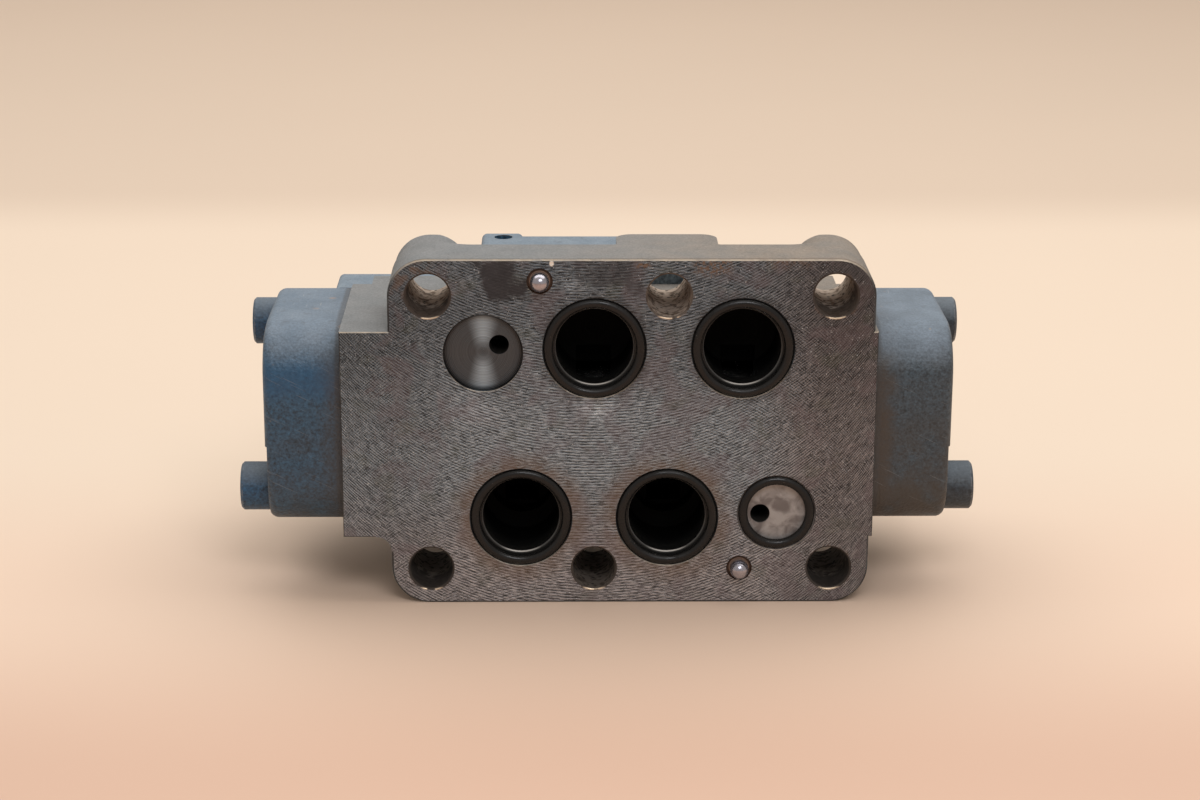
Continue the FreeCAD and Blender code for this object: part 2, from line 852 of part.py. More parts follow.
def bore_tools():
    """Every solid that is cut out of the casting."""
    tools = [spool_bore()]
    pattern_x = dim("bolt_x")
    pattern_z = dim("bolt_z")
    middle = dim("mid_bolt_x")
    for name, x, z in (
        ("bolt_hole_1", -pattern_x, pattern_z),
        ("bolt_hole_2", pattern_x, pattern_z),
        ("bolt_hole_3", -pattern_x, -pattern_z),
        ("bolt_hole_4", pattern_x, -pattern_z),
        ("bolt_hole_5", middle, pattern_z),
        ("bolt_hole_6", -middle, -pattern_z),
    ):
        tools.append(bolt_hole(name, x, z))
    row_z = dim("port_row_z")
    tools.append(port_hole("port_p", dim("port_p_x"), row_z))
    tools.append(port_hole("port_t", dim("port_t_x"), row_z))
    tools.append(port_hole("port_a", dim("port_a_x"), -row_z))
    tools.append(port_hole("port_b", dim("port_b_x"), -row_z))
    tools.append(pilot_recess("pilot_recess_y", -dim("pilot_port_x"), dim("pilot_port_z")))
    tools.append(pilot_recess("pilot_recess_x", dim("pilot_port_x"), -dim("pilot_port_z")))
    tools.append(pin_hole("upper_pin_hole", dim("upper_pin_x"), dim("upper_pin_z")))
    tools.append(pin_hole("lower_pin_hole", dim("lower_pin_x"), dim("lower_pin_z")))
    tools += port_passages()
    tools += cored_passages()
    tools += pilot_galleries()
    tools += screw_threads()
    return tools


def cored_passages():
    """The tank bridge that joins the two outer chambers behind the bore."""
    first, last = chamber_centres[0], chamber_centres[-1]
    radius = dim("tank_bridge_radius")
    deep = dim("tank_bridge_y")
    low = dim("spool_y") + dim("tank_riser_start")
    past = dim("gallery_overrun") + radius
    run = last - first + past * 2
    pieces = [rod("tank_bridge", radius, run, (first - past, deep, dim("spool_z")), TURN_TO_X)]
    for name, centre in (("tank_riser_left", first), ("tank_riser_right", last)):
        start = (centre, low, dim("spool_z"))
        pieces.append(rod(name, radius - dim("overrun"), deep - low, start, TURN_TO_Y))
    return pieces


def pilot_galleries():
    """Drilled pilot lines: supply X, drain Y and one line to each end chamber."""
    drill = dim("pilot_drill_radius")
    floor = dim("recess_depth") - dim("overrun")
    far_face = dim("block_depth") + dim("overrun")
    drain = (dim("drain_drill_x"), floor, dim("drain_drill_z"))
    supply = (dim("supply_drill_x"), floor, dim("supply_drill_z"))
    supply_run = dim("supply_gallery_y") - floor
    lines = [
        rod("drain_drilling", drill, far_face - floor, drain, TURN_TO_Y),
        rod("supply_drilling", drill, supply_run, supply, TURN_TO_Y),
    ]
    return lines + supply_lines() + end_line("left_line", -1) + end_line("right_line", 1)


def supply_lines():
    """The gallery from the X drilling, the cross drilling and the riser to the pilot face."""
    size = dim("gallery_radius")
    riser = dim("riser_radius")
    past = dim("gallery_overrun")
    mouth = dim("supply_plug_radius")
    mouth_run = dim("supply_plug_length") + dim("overrun")
    deep = dim("supply_gallery_y")
    level = dim("supply_gallery_z")
    right = dim("block_right_x") + dim("overrun")
    under = -dim("deck_half") - dim("overrun")
    turn = (pilot_left_x, deep, -gallery_z)
    return [
        rod("supply_gallery", size, right - pilot_left_x + past, (right, deep, level), TURN_TO_MINUS_X),
        rod("supply_gallery_mouth", mouth, mouth_run, (right, deep, level), TURN_TO_MINUS_X),
        rod("supply_cross", riser, past - gallery_z - under, (pilot_left_x, deep, under)),
        rod("supply_cross_mouth", mouth, mouth_run, (pilot_left_x, deep, under)),
        rod("supply_riser", dim("channel_riser_radius"), riser_run(deep), turn, TURN_TO_Y),
    ]


def riser_run(deep):
    """The length of a riser from a gallery to just past the far face of the block."""
    return dim("block_depth") + dim("overrun") - deep


def end_line(name, side):
    """The line from one end chamber to the pilot face. The side is -1 at the left and +1 at the right."""
    size = dim("gallery_radius")
    riser = dim("riser_radius")
    past = dim("gallery_overrun")
    deep = dim("gallery_y")
    level = gallery_z * -side
    end_x = left_line_x if side < 0 else right_line_x
    outer = dim("block_left_x") - dim("overrun") if side < 0 else dim("block_right_x") + dim("overrun")
    inward = TURN_TO_X if side < 0 else TURN_TO_MINUS_X
    run = (pilot_right_x - outer) * -side + past
    low = dim("spool_y") + dim("line_end_lift")
    mouth_run = dim("plug_length") + dim("overrun")
    return [
        rod(name, size, run, (outer, deep, level), inward),
        rod(f"{name}_mouth", dim("plug_radius"), mouth_run, (outer, deep, level), inward),
        rod(f"{name}_end", riser, deep - low, (end_x, low, level), TURN_TO_Y),
        rod(f"{name}_riser", riser, riser_run(deep), (pilot_right_x, deep, level), TURN_TO_Y),
    ]


def cover_screw_places():
    """Name, Y, Z and whether the head is sunk, for the four screws of one cover."""
    return [
        ("near_low", dim("screw_near_y"), dim("proud_near_z"), False),
        ("far_high", dim("screw_far_y"), dim("proud_far_z"), False),
        ("near_high", dim("screw_near_y"), dim("sunk_near_z"), True),
        ("far_low", dim("sunk_far_y"), dim("sunk_far_z"), True),
    ]


def screw_threads():
    """Tapped holes for the cover screws and the adapter screws, at their core size."""
    radius = dim("cover_screw_thread")
    past = dim("overrun")
    depth = dim("cover_screw_bite") + dim("thread_runout")
    left = dim("block_left_x") - past
    right = dim("block_right_x") + past
    pieces = []
    for name, y, z, _ in cover_screw_places():
        pieces.append(rod(f"left_thread_{name}", radius, depth, (left, y, z), TURN_TO_X))
        pieces.append(rod(f"right_thread_{name}", radius, depth, (right, y, z), TURN_TO_MINUS_X))
    start = dim("block_depth") + past
    size = dim("adapter_screw_radius") + dim("adapter_thread_gap")
    bite = dim("adapter_screw_bite") + dim("thread_runout")
    for number, (x, z) in enumerate(adapter_screw_places(), start=1):
        pieces.append(rod(f"adapter_thread_{number}", size, bite, (x, start, z), TURN_TO_MINUS_Y))
    return pieces


def adapter_screw_places():
    across = dim("adapter_screw_x")
    up = dim("adapter_screw_z")
    centre = dim("deck_x")
    return [(centre - across, up), (centre + across, up), (centre - across, -up), (centre + across, -up)]


def main_housing():
    """The casting: flange, bosses, spool block, port lobes and pedestal, with every bore cut out."""
    pattern_x = dim("bolt_x")
    pattern_z = dim("bolt_z")
    bosses = [
        bolt_boss("boss_1", -pattern_x, pattern_z),
        bolt_boss("boss_2", pattern_x, pattern_z),
        bolt_boss("boss_3", -pattern_x, -pattern_z),
        bolt_boss("boss_4", pattern_x, -pattern_z),
        mid_boss("boss_5", dim("mid_bolt_x"), 1),
        mid_boss("boss_6", -dim("mid_bolt_x"), -1),
    ]
    trimmed = overlap("trimmed_bosses", [join("boss_group", bosses), flange_envelope()])
    casting = join(
        "casting",
        [
            flange_solid(),
            trimmed,
            spool_block(),
            block_crown(),
            port_lobe("lobe_p", dim("port_p_x"), dim("port_row_z")),
            port_lobe("lobe_t", dim("port_t_x"), dim("port_row_z")),
            port_lobe("lobe_a", dim("port_a_x"), -dim("port_row_z")),
            port_lobe("lobe_b", dim("port_b_x"), -dim("port_row_z")),
            pedestal(),
            shoulder_web(),
        ],
    )
    housing = cut("main_housing", casting, join("housing_bores", bore_tools()))
    housing.Label = "main_housing"
    return housing


# --- Spool, springs and seats ---------------------------------------------------------------------


def main_spool():
    """The spool: end lands, two control lands over B and A, and slim necks between them."""
    body = new_body("main_spool")
    land = dim("bore_radius") - dim("spool_clearance")
    neck = dim("neck_radius")
    bevel = dim("land_chamfer")
    half = dim("chamber_half_width") + dim("land_overlap")
    tank_left, port_b, middle, port_a, tank_right = chamber_centres
    outline = [(left_bore_x, 0), (left_bore_x, land - bevel), (left_bore_x + bevel, land)]
    edges = [
        (tank_left - half, port_b - half),
        (port_b + half, port_a - half),
        (port_a + half, tank_right + half),
    ]
    for low, high in edges:
        outline += [(low, land), (low, neck), (high, neck), (high, land)]
    outline += [(right_bore_x - bevel, land), (right_bore_x, land - bevel), (right_bore_x, 0)]
    revolve(body, "spool_solid", outline, spool_axis)
    return body


def spring_seat(name, spool_end, side):
    """A disc against the spool's end with a hub that centres the spring. The side is -1 at the left."""
    body = new_body(name)
    face = spool_end + dim("seat_thickness") * side
    tip = face + dim("seat_hub_length") * side
    radius = dim("seat_radius")
    hub = dim("seat_hub_radius")
    outline = [
        (spool_end, 0),
        (spool_end, radius),
        (face, radius),
        (face, hub),
        (tip - dim("seat_hub_chamfer") * side, hub),
        (tip, hub - dim("seat_hub_chamfer")),
        (tip, 0),
    ]
    revolve(body, f"{name}_solid", outline, spool_axis)
    return body


def centering_spring(name, start_x):
    """A round-wire compression spring between a seat and a cover's recess."""
    wire = dim("spring_wire")
    margin = wire + dim("spring_end_gap")
    space = dim("end_chamber_depth") + dim("cover_recess_depth") - dim("seat_thickness")
    rise = space - margin * 2
    turns = dim("spring_turns")
    helix = doc.addObject("Part::Helix", f"{name}_line")
    bind(helix, "Radius", dim("spring_radius"))
    bind(helix, "Height", rise)
    bind(helix, "Pitch", Dim(rise.number / turns.number, f"({rise.text} / {turns.text})"))
    section = doc.addObject("Part::Circle", f"{name}_wire_section")
    bind(section, "Radius", wire)
    place(section, (dim("spring_radius"), 0, 0), TURN_TO_MINUS_Y)
    doc.recompute()
    coil = doc.addObject("Part::Sweep", name)
    coil.Label = name
    coil.Sections = [section]
    coil.Spine = (helix, ["Edge1"])
    coil.Solid = True
    coil.Frenet = True
    return place(coil, (start_x + margin, dim("spool_y"), dim("spool_z")), TURN_TO_X)


# --- End covers -----------------------------------------------------------------------------------


def end_cover(name, inner_x, side):
    """A cast end cover with a spring recess, a seal groove and screw holes. The side is -1 at the left."""
    body = new_body(name)
    thickness = dim("cover_thickness")
    outer_x = inner_x + thickness * side
    low_x = inner_x if side > 0 else outer_x
    middle = dim("spool_z")
    half = dim("cover_half_height")
    near_y = dim("cover_near_y")
    far_y = dim("cover_far_y")
    sketch = new_sketch(body, f"{name}_section", "YZ_Plane", (0, 0, low_x))
    draw_box(sketch, near_y, middle - half, far_y, middle + half)
    extrude(body, "Pad", f"{name}_solid", sketch, thickness)
    along_x = Vector(1, 0, 0)
    start = near_y.number
    end = far_y.number
    outer = outer_x.number
    round_edges(
        body,
        f"{name}_near_corners",
        dim("cover_near_round"),
        lambda edge: along(edge, along_x) and near(edge.BoundBox.YMax, start),
    )
    round_edges(
        body,
        f"{name}_far_corners",
        dim("cover_far_round"),
        lambda edge: along(edge, along_x) and near(edge.BoundBox.YMax, end),
    )
    round_edges(
        body,
        f"{name}_outer_edges",
        dim("cover_edge_round"),
        lambda edge: near(edge.BoundBox.XMin, outer) and near(edge.BoundBox.XMax, outer),
    )
    machined_seats(body, name, outer_x, side)
    cover_recesses(body, name, inner_x, side)
    cover_screw_holes(body, name, inner_x, outer_x, side)
    return body


def machined_seats(body, name, outer_x, side):
    """Two shallow milled seats on the outer face, under the heads of the proud screws."""
    step = dim("cover_seat_step")
    past = dim("overrun")
    low_z = dim("spool_z") - dim("cover_half_height") - past
    high_z = dim("spool_z") + dim("cover_half_height") + past
    sketch = new_sketch(body, f"{name}_seat_outline", "YZ_Plane", (0, 0, outer_x - step * side))
    draw_box(sketch, dim("cover_near_y") - past, low_z, dim("near_seat_edge_y"), dim("near_seat_edge_z"))
    draw_box(sketch, dim("far_seat_edge_y"), dim("far_seat_edge_z"), dim("cover_far_y") + past, high_z)
    extrude(body, "Pocket", f"{name}_seats", sketch, step + past, side > 0)


def cover_recesses(body, name, inner_x, side):
    """The spring recess and the seal groove, cut from the inner face."""
    recess = body.newObject("PartDesign::Groove", f"{name}_recess")
    sketch = new_sketch(body, f"{name}_recess_outline", "XY_Plane", spool_axis)
    floor = inner_x + dim("cover_recess_depth") * side
    groove_floor = inner_x + dim("cover_seal_cord") * 2 * side
    front = inner_x - dim("overrun") * side
    radius = dim("end_chamber_radius")
    draw_outline(sketch, [(front, 0), (front, radius), (floor, radius), (floor, 0)])
    low = dim("cover_seal_inner")
    high = dim("cover_seal_outer")
    draw_outline(sketch, [(front, low), (front, high), (groove_floor, high), (groove_floor, low)])
    recess.Profile = sketch
    recess.ReferenceAxis = (sketch, ["H_Axis"])
    recess.Angle = 360
    doc.recompute()


def cover_screw_holes(body, name, inner_x, outer_x, side):
    """Clearance holes for four screws. Two have a pocket that takes the whole head."""
    past = dim("overrun")
    places = cover_screw_places()
    holes = new_sketch(body, f"{name}_hole_outline", "YZ_Plane", (0, 0, inner_x - past * side))
    for _, y, z, _ in places:
        draw_circle(holes, y, z, dim("cover_screw_hole"))
    extrude(body, "Pocket", f"{name}_holes", holes, dim("cover_thickness") + past * 2, side > 0)
    floor = outer_x - dim("sunk_screw_depth") * side
    pockets = new_sketch(body, f"{name}_pocket_outline", "YZ_Plane", (0, 0, floor))
    for _, y, z, sunk in places:
        if sunk:
            draw_circle(pockets, y, z, dim("sunk_screw_pocket"))
    extrude(body, "Pocket", f"{name}_pockets", pockets, dim("sunk_screw_depth") + past, side > 0)


def cover_screws(name, outer_x, side):
    """The four socket head screws of one cover."""
    screws = []
    rotation = TURN_TO_X if side > 0 else TURN_TO_MINUS_X
    grip = dim("cover_thickness") + dim("cover_screw_bite")
    for place_name, y, z, sunk in cover_screw_places():
        inset = dim("sunk_screw_depth") if sunk else dim("cover_seat_step")
        screws.append(
            cap_screw(
                f"{name}_{place_name}",
                dim("cover_screw_radius"),
                dim("cover_screw_head"),
                dim("cover_screw_head_height"),
                grip - inset,
                (outer_x - inset * side, y, z),
                rotation,
            )
        )
    return group(name, screws)


# --- Pilot adapter --------------------------------------------------------------------------------


def pilot_adapter():
    """The block on the pedestal, with a raised strip and a wing at the left. It carries the pilot face."""
    body = new_body("pilot_adapter_block")
    base = dim("block_depth")
    half = dim("deck_half")
    centre = dim("deck_x")
    sketch = new_sketch(body, "adapter_outline", "XZ_Plane", (0, 0, -base))
    draw_box(sketch, centre - half, -half, centre + half, half)
    extrude(body, "Pad", "adapter_solid", sketch, dim("adapter_height"), True)
    strip = new_sketch(body, "strip_outline", "XZ_Plane", (0, 0, -base))
    draw_box(strip, centre - half, -half, dim("strip_right_x"), half)
    extrude(body, "Pad", "strip_solid", strip, dim("strip_height"), True)
    wing = new_sketch(body, "wing_outline", "XZ_Plane", (0, 0, -(base + dim("wing_lift"))))
    wing_half = dim("wing_half")
    draw_box(wing, dim("wing_left_x"), -wing_half, centre - half + dim("overrun"), wing_half)
    extrude(body, "Pad", "wing_solid", wing, dim("strip_height") - dim("wing_lift"), True)
    round_edges(body, "adapter_rounds", dim("deck_round"), lambda edge: along(edge, Vector(0, 1, 0)))
    face = strip_face_y.number
    chamfer_edges(
        body,
        "adapter_edge_break",
        dim("edge_break"),
        lambda edge: near(edge.BoundBox.YMin, face) and near(edge.BoundBox.YMax, face),
    )
    adapter = cut("pilot_adapter", body, join("adapter_bores", adapter_tools()))
    adapter.Label = "pilot_adapter"
    return adapter


def pilot_channels():
    """Places of the four channels of the pilot face."""
    return [
        (pilot_left_x, gallery_z),
        (pilot_right_x, gallery_z),
        (pilot_left_x, -gallery_z),
        (pilot_right_x, -gallery_z),
    ]


def plate_screw_places():
    across = dim("plate_screw_x")
    up = dim("plate_screw_z")
    centre = dim("pilot_x")
    return [(centre - across, up), (centre + across, up), (centre - across, -up), (centre + across, -up)]


def seal_recess(name, x, z, face_y):
    """A shallow recess for a small seal, cut from a face that looks along +Y."""
    radius = dim("small_seal_radius") + dim("small_seal_cord") + dim("small_seal_gap")
    depth = dim("small_seal_cord") * 2
    return rod(name, radius, depth, (x, face_y - depth, z), TURN_TO_Y)


def adapter_tools():
    """Every solid that is cut out of the adapter."""
    return adapter_screw_holes() + pilot_face_holes() + adapter_galleries()


def adapter_screw_holes():
    """A clearance hole and a head pocket for each screw of the adapter."""
    past = dim("overrun")
    base = dim("block_depth") - past
    seat_y = deck_face_y - dim("adapter_screw_depth")
    hole = dim("adapter_screw_radius") + dim("adapter_hole_gap")
    pocket = dim("adapter_screw_head") + dim("adapter_pocket_gap")
    top = strip_face_y + past
    tools = []
    for number, (x, z) in enumerate(adapter_screw_places(), start=1):
        tools.append(rod(f"adapter_hole_{number}", hole, deck_face_y - base, (x, base, z), TURN_TO_Y))
        tools.append(rod(f"adapter_pocket_{number}", pocket, top - seat_y, (x, seat_y, z), TURN_TO_Y))
    return tools


def pilot_face_holes():
    """The four channels of the pilot face, their lower seal recesses and the cover plate's threads."""
    past = dim("overrun")
    base = dim("block_depth")
    top = deck_face_y + past
    recess_top = base + dim("small_seal_cord") * 2
    tools = []
    for number, (x, z) in enumerate(pilot_channels(), start=1):
        blind = number == 1
        start = dim("cross_gallery_y") if blind else base - past
        tools.append(rod(f"channel_{number}", dim("riser_radius"), top - start, (x, start, z), TURN_TO_Y))
        if not blind:
            tools.append(seal_recess(f"channel_seal_recess_{number}", x, z, recess_top))
    size = dim("plate_screw_radius") + dim("plate_thread_gap")
    depth = dim("plate_screw_bite") + past * 2
    for number, (x, z) in enumerate(plate_screw_places(), start=1):
        tools.append(rod(f"plate_thread_{number}", size, depth, (x, top, z), TURN_TO_MINUS_Y))
    return tools


def adapter_galleries():
    """The drain's way to the side hole, and the cross gallery that is drilled from the wing's end."""
    past = dim("overrun")
    base = dim("block_depth")
    side_y = dim("side_hole_y")
    drain_x = dim("drain_drill_x")
    drain_z = dim("drain_drill_z")
    side_start = (dim("side_hole_x"), side_y, dim("deck_half") + past)
    cross_start = (dim("wing_left_x") - past, dim("cross_gallery_y"), gallery_z)
    cross_run = pilot_left_x + dim("gallery_overrun") - dim("wing_left_x")
    mouth_run = dim("plug_length") + past
    drain = (drain_x, base - past, drain_z)
    return [
        rod("adapter_drain", dim("gallery_radius"), side_y - base + past, drain, TURN_TO_Y),
        seal_recess("drain_seal_recess", drain_x, drain_z, base + dim("small_seal_cord") * 2),
        rod("side_hole", dim("side_hole_radius"), dim("side_hole_depth") + past, side_start, TURN_TO_MINUS_Z),
        rod("cross_gallery", dim("gallery_radius"), cross_run, cross_start, TURN_TO_X),
        rod("cross_gallery_mouth", dim("plug_radius"), mouth_run, cross_start, TURN_TO_X),
    ]


def adapter_screws():
    """The four screws that hold the adapter to the housing."""
    seat_y = deck_face_y - dim("adapter_screw_depth")
    grip = dim("adapter_height") - dim("adapter_screw_depth") + dim("adapter_screw_bite")
    screws = []
    for number, (x, z) in enumerate(adapter_screw_places(), start=1):
        screws.append(
            cap_screw(
                f"adapter_screw_{number}",
                dim("adapter_screw_radius"),
                dim("adapter_screw_head"),
                dim("adapter_screw_head_height"),
                grip,
                (x, seat_y, z),
                TURN_TO_Y,
            )
        )
    return group("adapter_screws", screws)


def small_seals(name, places, middle_y):
    """O-rings of one joint face, as separate rings in one node."""
    radius = dim("small_seal_radius")
    cord = dim("small_seal_cord")
    rings = []
    for number, (x, z) in enumerate(places, start=1):
        rings.append(ring(f"{name}_{number}", radius, cord, (x, middle_y, z), TURN_TO_Y))
    return group(name, rings)


def interface_plate():
    """The plate that closes the pilot face, with recesses for its four seals."""
    body = new_body("interface_plate_block")
    sketch = new_sketch(body, "plate_outline", "XZ_Plane", (0, 0, -deck_face_y))
    length = dim("plate_half_length")
    width = dim("plate_half_width")
    centre = dim("pilot_x")
    draw_box(sketch, centre - length, -width, centre + length, width)
    extrude(body, "Pad", "plate_solid", sketch, dim("plate_thickness"), True)
    round_edges(body, "plate_corners", dim("plate_round"), lambda edge: along(edge, Vector(0, 1, 0)))
    top = (deck_face_y + dim("plate_thickness")).number
    chamfer_edges(
        body,
        "plate_edge_break",
        dim("edge_break"),
        lambda edge: near(edge.BoundBox.YMin, top) and near(edge.BoundBox.YMax, top),
    )
    plate = cut("interface_cover_plate", body, join("plate_bores", plate_tools()))
    plate.Label = "interface_cover_plate"
    return plate


def plate_tools():
    """Every solid that is cut out of the cover plate."""
    past = dim("overrun")
    thickness = dim("plate_thickness")
    depth = dim("plate_screw_depth")
    seat_y = deck_face_y + thickness - depth
    start = deck_face_y - past
    hole = dim("plate_screw_radius") + dim("plate_hole_gap")
    pocket = dim("plate_screw_head") + dim("plate_pocket_gap")
    tools = []
    for number, (x, z) in enumerate(plate_screw_places(), start=1):
        tools.append(rod(f"plate_hole_{number}", hole, thickness, (x, start, z), TURN_TO_Y))
        tools.append(rod(f"plate_pocket_{number}", pocket, depth + past, (x, seat_y, z), TURN_TO_Y))
    recess_top = deck_face_y + dim("small_seal_cord") * 2
    for number, (x, z) in enumerate(pilot_channels(), start=1):
        tools.append(seal_recess(f"plate_seal_recess_{number}", x, z, recess_top))
    return tools


def interface_screws():
    """The four small screws of the cover plate."""
    seat_y = deck_face_y + dim("plate_thickness") - dim("plate_screw_depth")
    grip = dim("plate_thickness") - dim("plate_screw_depth") + dim("plate_screw_bite")
    screws = []
    for number, (x, z) in enumerate(plate_screw_places(), start=1):
        screws.append(
            cap_screw(
                f"plate_screw_{number}",
                dim("plate_screw_radius"),
                dim("plate_screw_head"),
                dim("plate_screw_head_height"),
                grip,
                (x, seat_y, z),
                TURN_TO_Y,
            )
        )
    return group("interface_plate_screws", screws)


def name_plate():
    """A thin blank plate on top of the cover plate."""
    body = new_body("blank_name_plate")
    top = deck_face_y + dim("plate_thickness")
    sketch = new_sketch(body, "name_plate_outline", "XZ_Plane", (0, 0, -top))
    length = dim("name_plate_half_length")
    width = dim("name_plate_half_width")
    centre = dim("pilot_x")
    draw_box(sketch, centre - length, -width, centre + length, width)
    inset = length - dim("rivet_inset")
    for x in (centre - inset, centre + inset):
        draw_circle(sketch, x, 0, dim("rivet_radius") + dim("rivet_hole_gap"))
    extrude(body, "Pad", "name_plate_solid", sketch, dim("name_plate_thickness"), True)
    corner_z = width.number
    round_edges(
        body,
        "name_plate_corners",
        dim("deck_round"),
        lambda edge: along(edge, Vector(0, 1, 0)) and near(abs(edge.BoundBox.Center.z), corner_z),
    )
    return body


def name_plate_rivets():
    """Two drive rivets with low round heads that stand on the name plate."""
    base = deck_face_y + dim("plate_thickness")
    inset = dim("name_plate_half_length") - dim("rivet_inset")
    radius = dim("rivet_radius")
    head = radius + dim("rivet_head_overhang")
    shoulder = base + dim("name_plate_thickness")
    top = shoulder + dim("rivet_head_height")
    outline = [(0, base), (radius, base), (radius, shoulder), (head, shoulder), (head, top), (0, top)]
    rivets = []
    for number, x in enumerate((dim("pilot_x") - inset, dim("pilot_x") + inset), start=1):
        body = new_body(f"rivet_{number}")
        revolve(body, f"rivet_solid_{number}", outline, (x, 0, 0), "V_Axis")
        round_edges(
            body,
            f"rivet_head_{number}",
            dim("rivet_head_round"),
            lambda edge: round_at(edge, top, head),
        )
        rivets.append(body)
    return group("name_plate_rivets", rivets)


# --- Seals, pins and plugs ------------------------------------------------------------------------


def port_seal(name, x, z, recess, cord):
    """A seal ring in a recess of the mounting face. It stands a little proud of the face."""
    middle_y = dim("recess_depth") - cord - dim("seal_side_gap")
    return ring(name, recess - cord - dim("seal_side_gap"), cord, (x, middle_y, z), TURN_TO_Y)


def locating_pin(name, x, z):
    """A shouldered dowel with a domed tip. Its wider shank is pressed into the housing."""
    body = new_body(name)
    radius = dim("pin_radius")
    shank = dim("pin_shank_radius")
    shoulder = dim("pin_mouth_depth")
    tip = -dim("pin_stand_out")
    deep = dim("pin_depth")
    bevel = dim("pin_end_chamfer")
    outline = [(0, tip), (radius, tip), (radius, shoulder), (shank, shoulder)]
    outline += [(shank, deep - bevel), (shank - bevel, deep), (0, deep)]
    revolve(body, f"{name}_solid", outline, (x, 0, z), "V_Axis")
    round_edges(body, f"{name}_dome", dim("pin_dome"), lambda edge: round_at(edge, tip, radius))
    return body


def housing_plugs():
    """Blank plugs in the drilled mouths of the housing's galleries."""
    radius = dim("plug_radius") - dim("plug_clearance")
    supply_radius = dim("supply_plug_radius") - dim("plug_clearance")
    length = dim("plug_length") - dim("plug_inset") * 2
    supply_length = dim("supply_plug_length") - dim("plug_inset") * 2
    deep = dim("gallery_y")
    supply_y = dim("supply_gallery_y")
    supply_z = dim("supply_gallery_z")
    left = dim("block_left_x") + dim("plug_inset")
    right = dim("block_right_x") - dim("plug_inset")
    cross = (pilot_left_x, supply_y, dim("plug_inset") - dim("deck_half"))
    plugs = [
        plug_screw("plug_left_line", radius, length, (left, deep, gallery_z), TURN_TO_MINUS_X),
        plug_screw("plug_right_line", radius, length, (right, deep, -gallery_z), TURN_TO_X),
        plug_screw("plug_supply", supply_radius, supply_length, (right, supply_y, supply_z), TURN_TO_X),
        plug_screw("plug_cross", supply_radius, supply_length, cross, TURN_TO_MINUS_Z),
    ]
    return group("housing_gallery_plugs", plugs)


def adapter_plugs():
    """Blank plugs in the adapter: one in the wing's end, and one deep in the side hole."""
    side_z = dim("deck_half") - dim("side_plug_inset")
    side = (dim("side_hole_x"), dim("side_hole_y"), side_z)
    side_radius = dim("side_hole_radius") - dim("plug_clearance")
    inset = dim("plug_inset")
    end = (dim("wing_left_x") + inset, dim("cross_gallery_y"), gallery_z)
    end_radius = dim("plug_radius") - dim("plug_clearance")
    end_length = dim("plug_length") - inset * 2
    plugs = [
        plug_screw("plug_side_hole", side_radius, dim("side_plug_length"), side, FreeCAD.Rotation()),
        plug_screw("plug_wing_end", end_radius, end_length, end, TURN_TO_MINUS_X),
    ]
    return group("adapter_gallery_plugs", plugs)


# --- The assembly ---------------------------------------------------------------------------------


def all_subparts():
    """Every sub-part of the valve, each with the Label of its node."""
    row_z = dim("port_row_z")
    recess = dim("port_recess_radius")
    cord = dim("port_seal_cord")
    left = dim("block_left_x")
    right = dim("block_right_x")
    thickness = dim("cover_thickness")
    seal_middle = (dim("cover_seal_inner") + dim("cover_seal_outer")) * 0.5
    seal_cord = dim("cover_seal_cord")
    left_seal = (left - seal_cord, dim("spool_y"), dim("spool_z"))
    right_seal = (right + seal_cord, dim("spool_y"), dim("spool_z"))
    drain_place = (dim("drain_drill_x"), dim("drain_drill_z"))
    seat = dim("seat_thickness")
    recess_floor = left - dim("cover_recess_depth")
    small_cord = dim("small_seal_cord")
    return [
        main_housing(),
        main_spool(),
        spring_seat("left_spring_seat", left_bore_x, -1),
        spring_seat("right_spring_seat", right_bore_x, 1),
        centering_spring("left_centering_spring", recess_floor),
        centering_spring("right_centering_spring", right_bore_x + seat),
        end_cover("left_end_cover", left, -1),
        end_cover("right_end_cover", right, 1),
        ring("left_cover_seal", seal_middle, seal_cord, left_seal, TURN_TO_X),
        ring("right_cover_seal", seal_middle, seal_cord, right_seal, TURN_TO_X),
        cover_screws("left_cover_screws", left - thickness, -1),
        cover_screws("right_cover_screws", right + thickness, 1),
        port_seal("port_seal_p", dim("port_p_x"), row_z, recess, cord),
        port_seal("port_seal_t", dim("port_t_x"), row_z, recess, cord),
        port_seal("port_seal_a", dim("port_a_x"), -row_z, recess, cord),
        port_seal("port_seal_b", dim("port_b_x"), -row_z, recess, cord),
        port_seal(
            "pilot_seal_x",
            dim("pilot_port_x"),
            -dim("pilot_port_z"),
            dim("pilot_recess_radius"),
            dim("pilot_seal_cord"),
        ),
        locating_pin("upper_locating_pin", dim("upper_pin_x"), dim("upper_pin_z")),
        locating_pin("lower_locating_pin", dim("lower_pin_x"), dim("lower_pin_z")),
        housing_plugs(),
        pilot_adapter(),
        adapter_screws(),
        adapter_plugs(),
        small_seals("adapter_seals", pilot_channels()[1:] + [drain_place], dim("block_depth") + small_cord),
        interface_plate(),
        interface_screws(),
        small_seals("interface_seals", pilot_channels(), deck_face_y + small_cord),
        name_plate(),
        name_plate_rivets(),
    ]


def check_document():
    """Stops if any object of the document failed."""
    for thing in doc.Objects:
        if "Invalid" in thing.State or "Error" in thing.State:
            raise RuntimeError(f"{thing.Name} is {thing.State}")


def export(subparts):
    """Writes each sub-part to its own file, once its shape is found sound."""
    os.makedirs("parts", exist_ok=True)
    for part in subparts:
        if part.Shape.isNull() or not part.Shape.isValid():
            raise RuntimeError(f"{part.Label} has no valid shape")
    for part in subparts:
        part.Shape.exportStep(f"parts/{part.Label}.step")
        volume = sum(solid.Volume for solid in part.Shape.Solids)
        print(f"{part.Label}: {len(part.Shape.Solids)} solid(s), {volume / 1000:.2f} cm3")


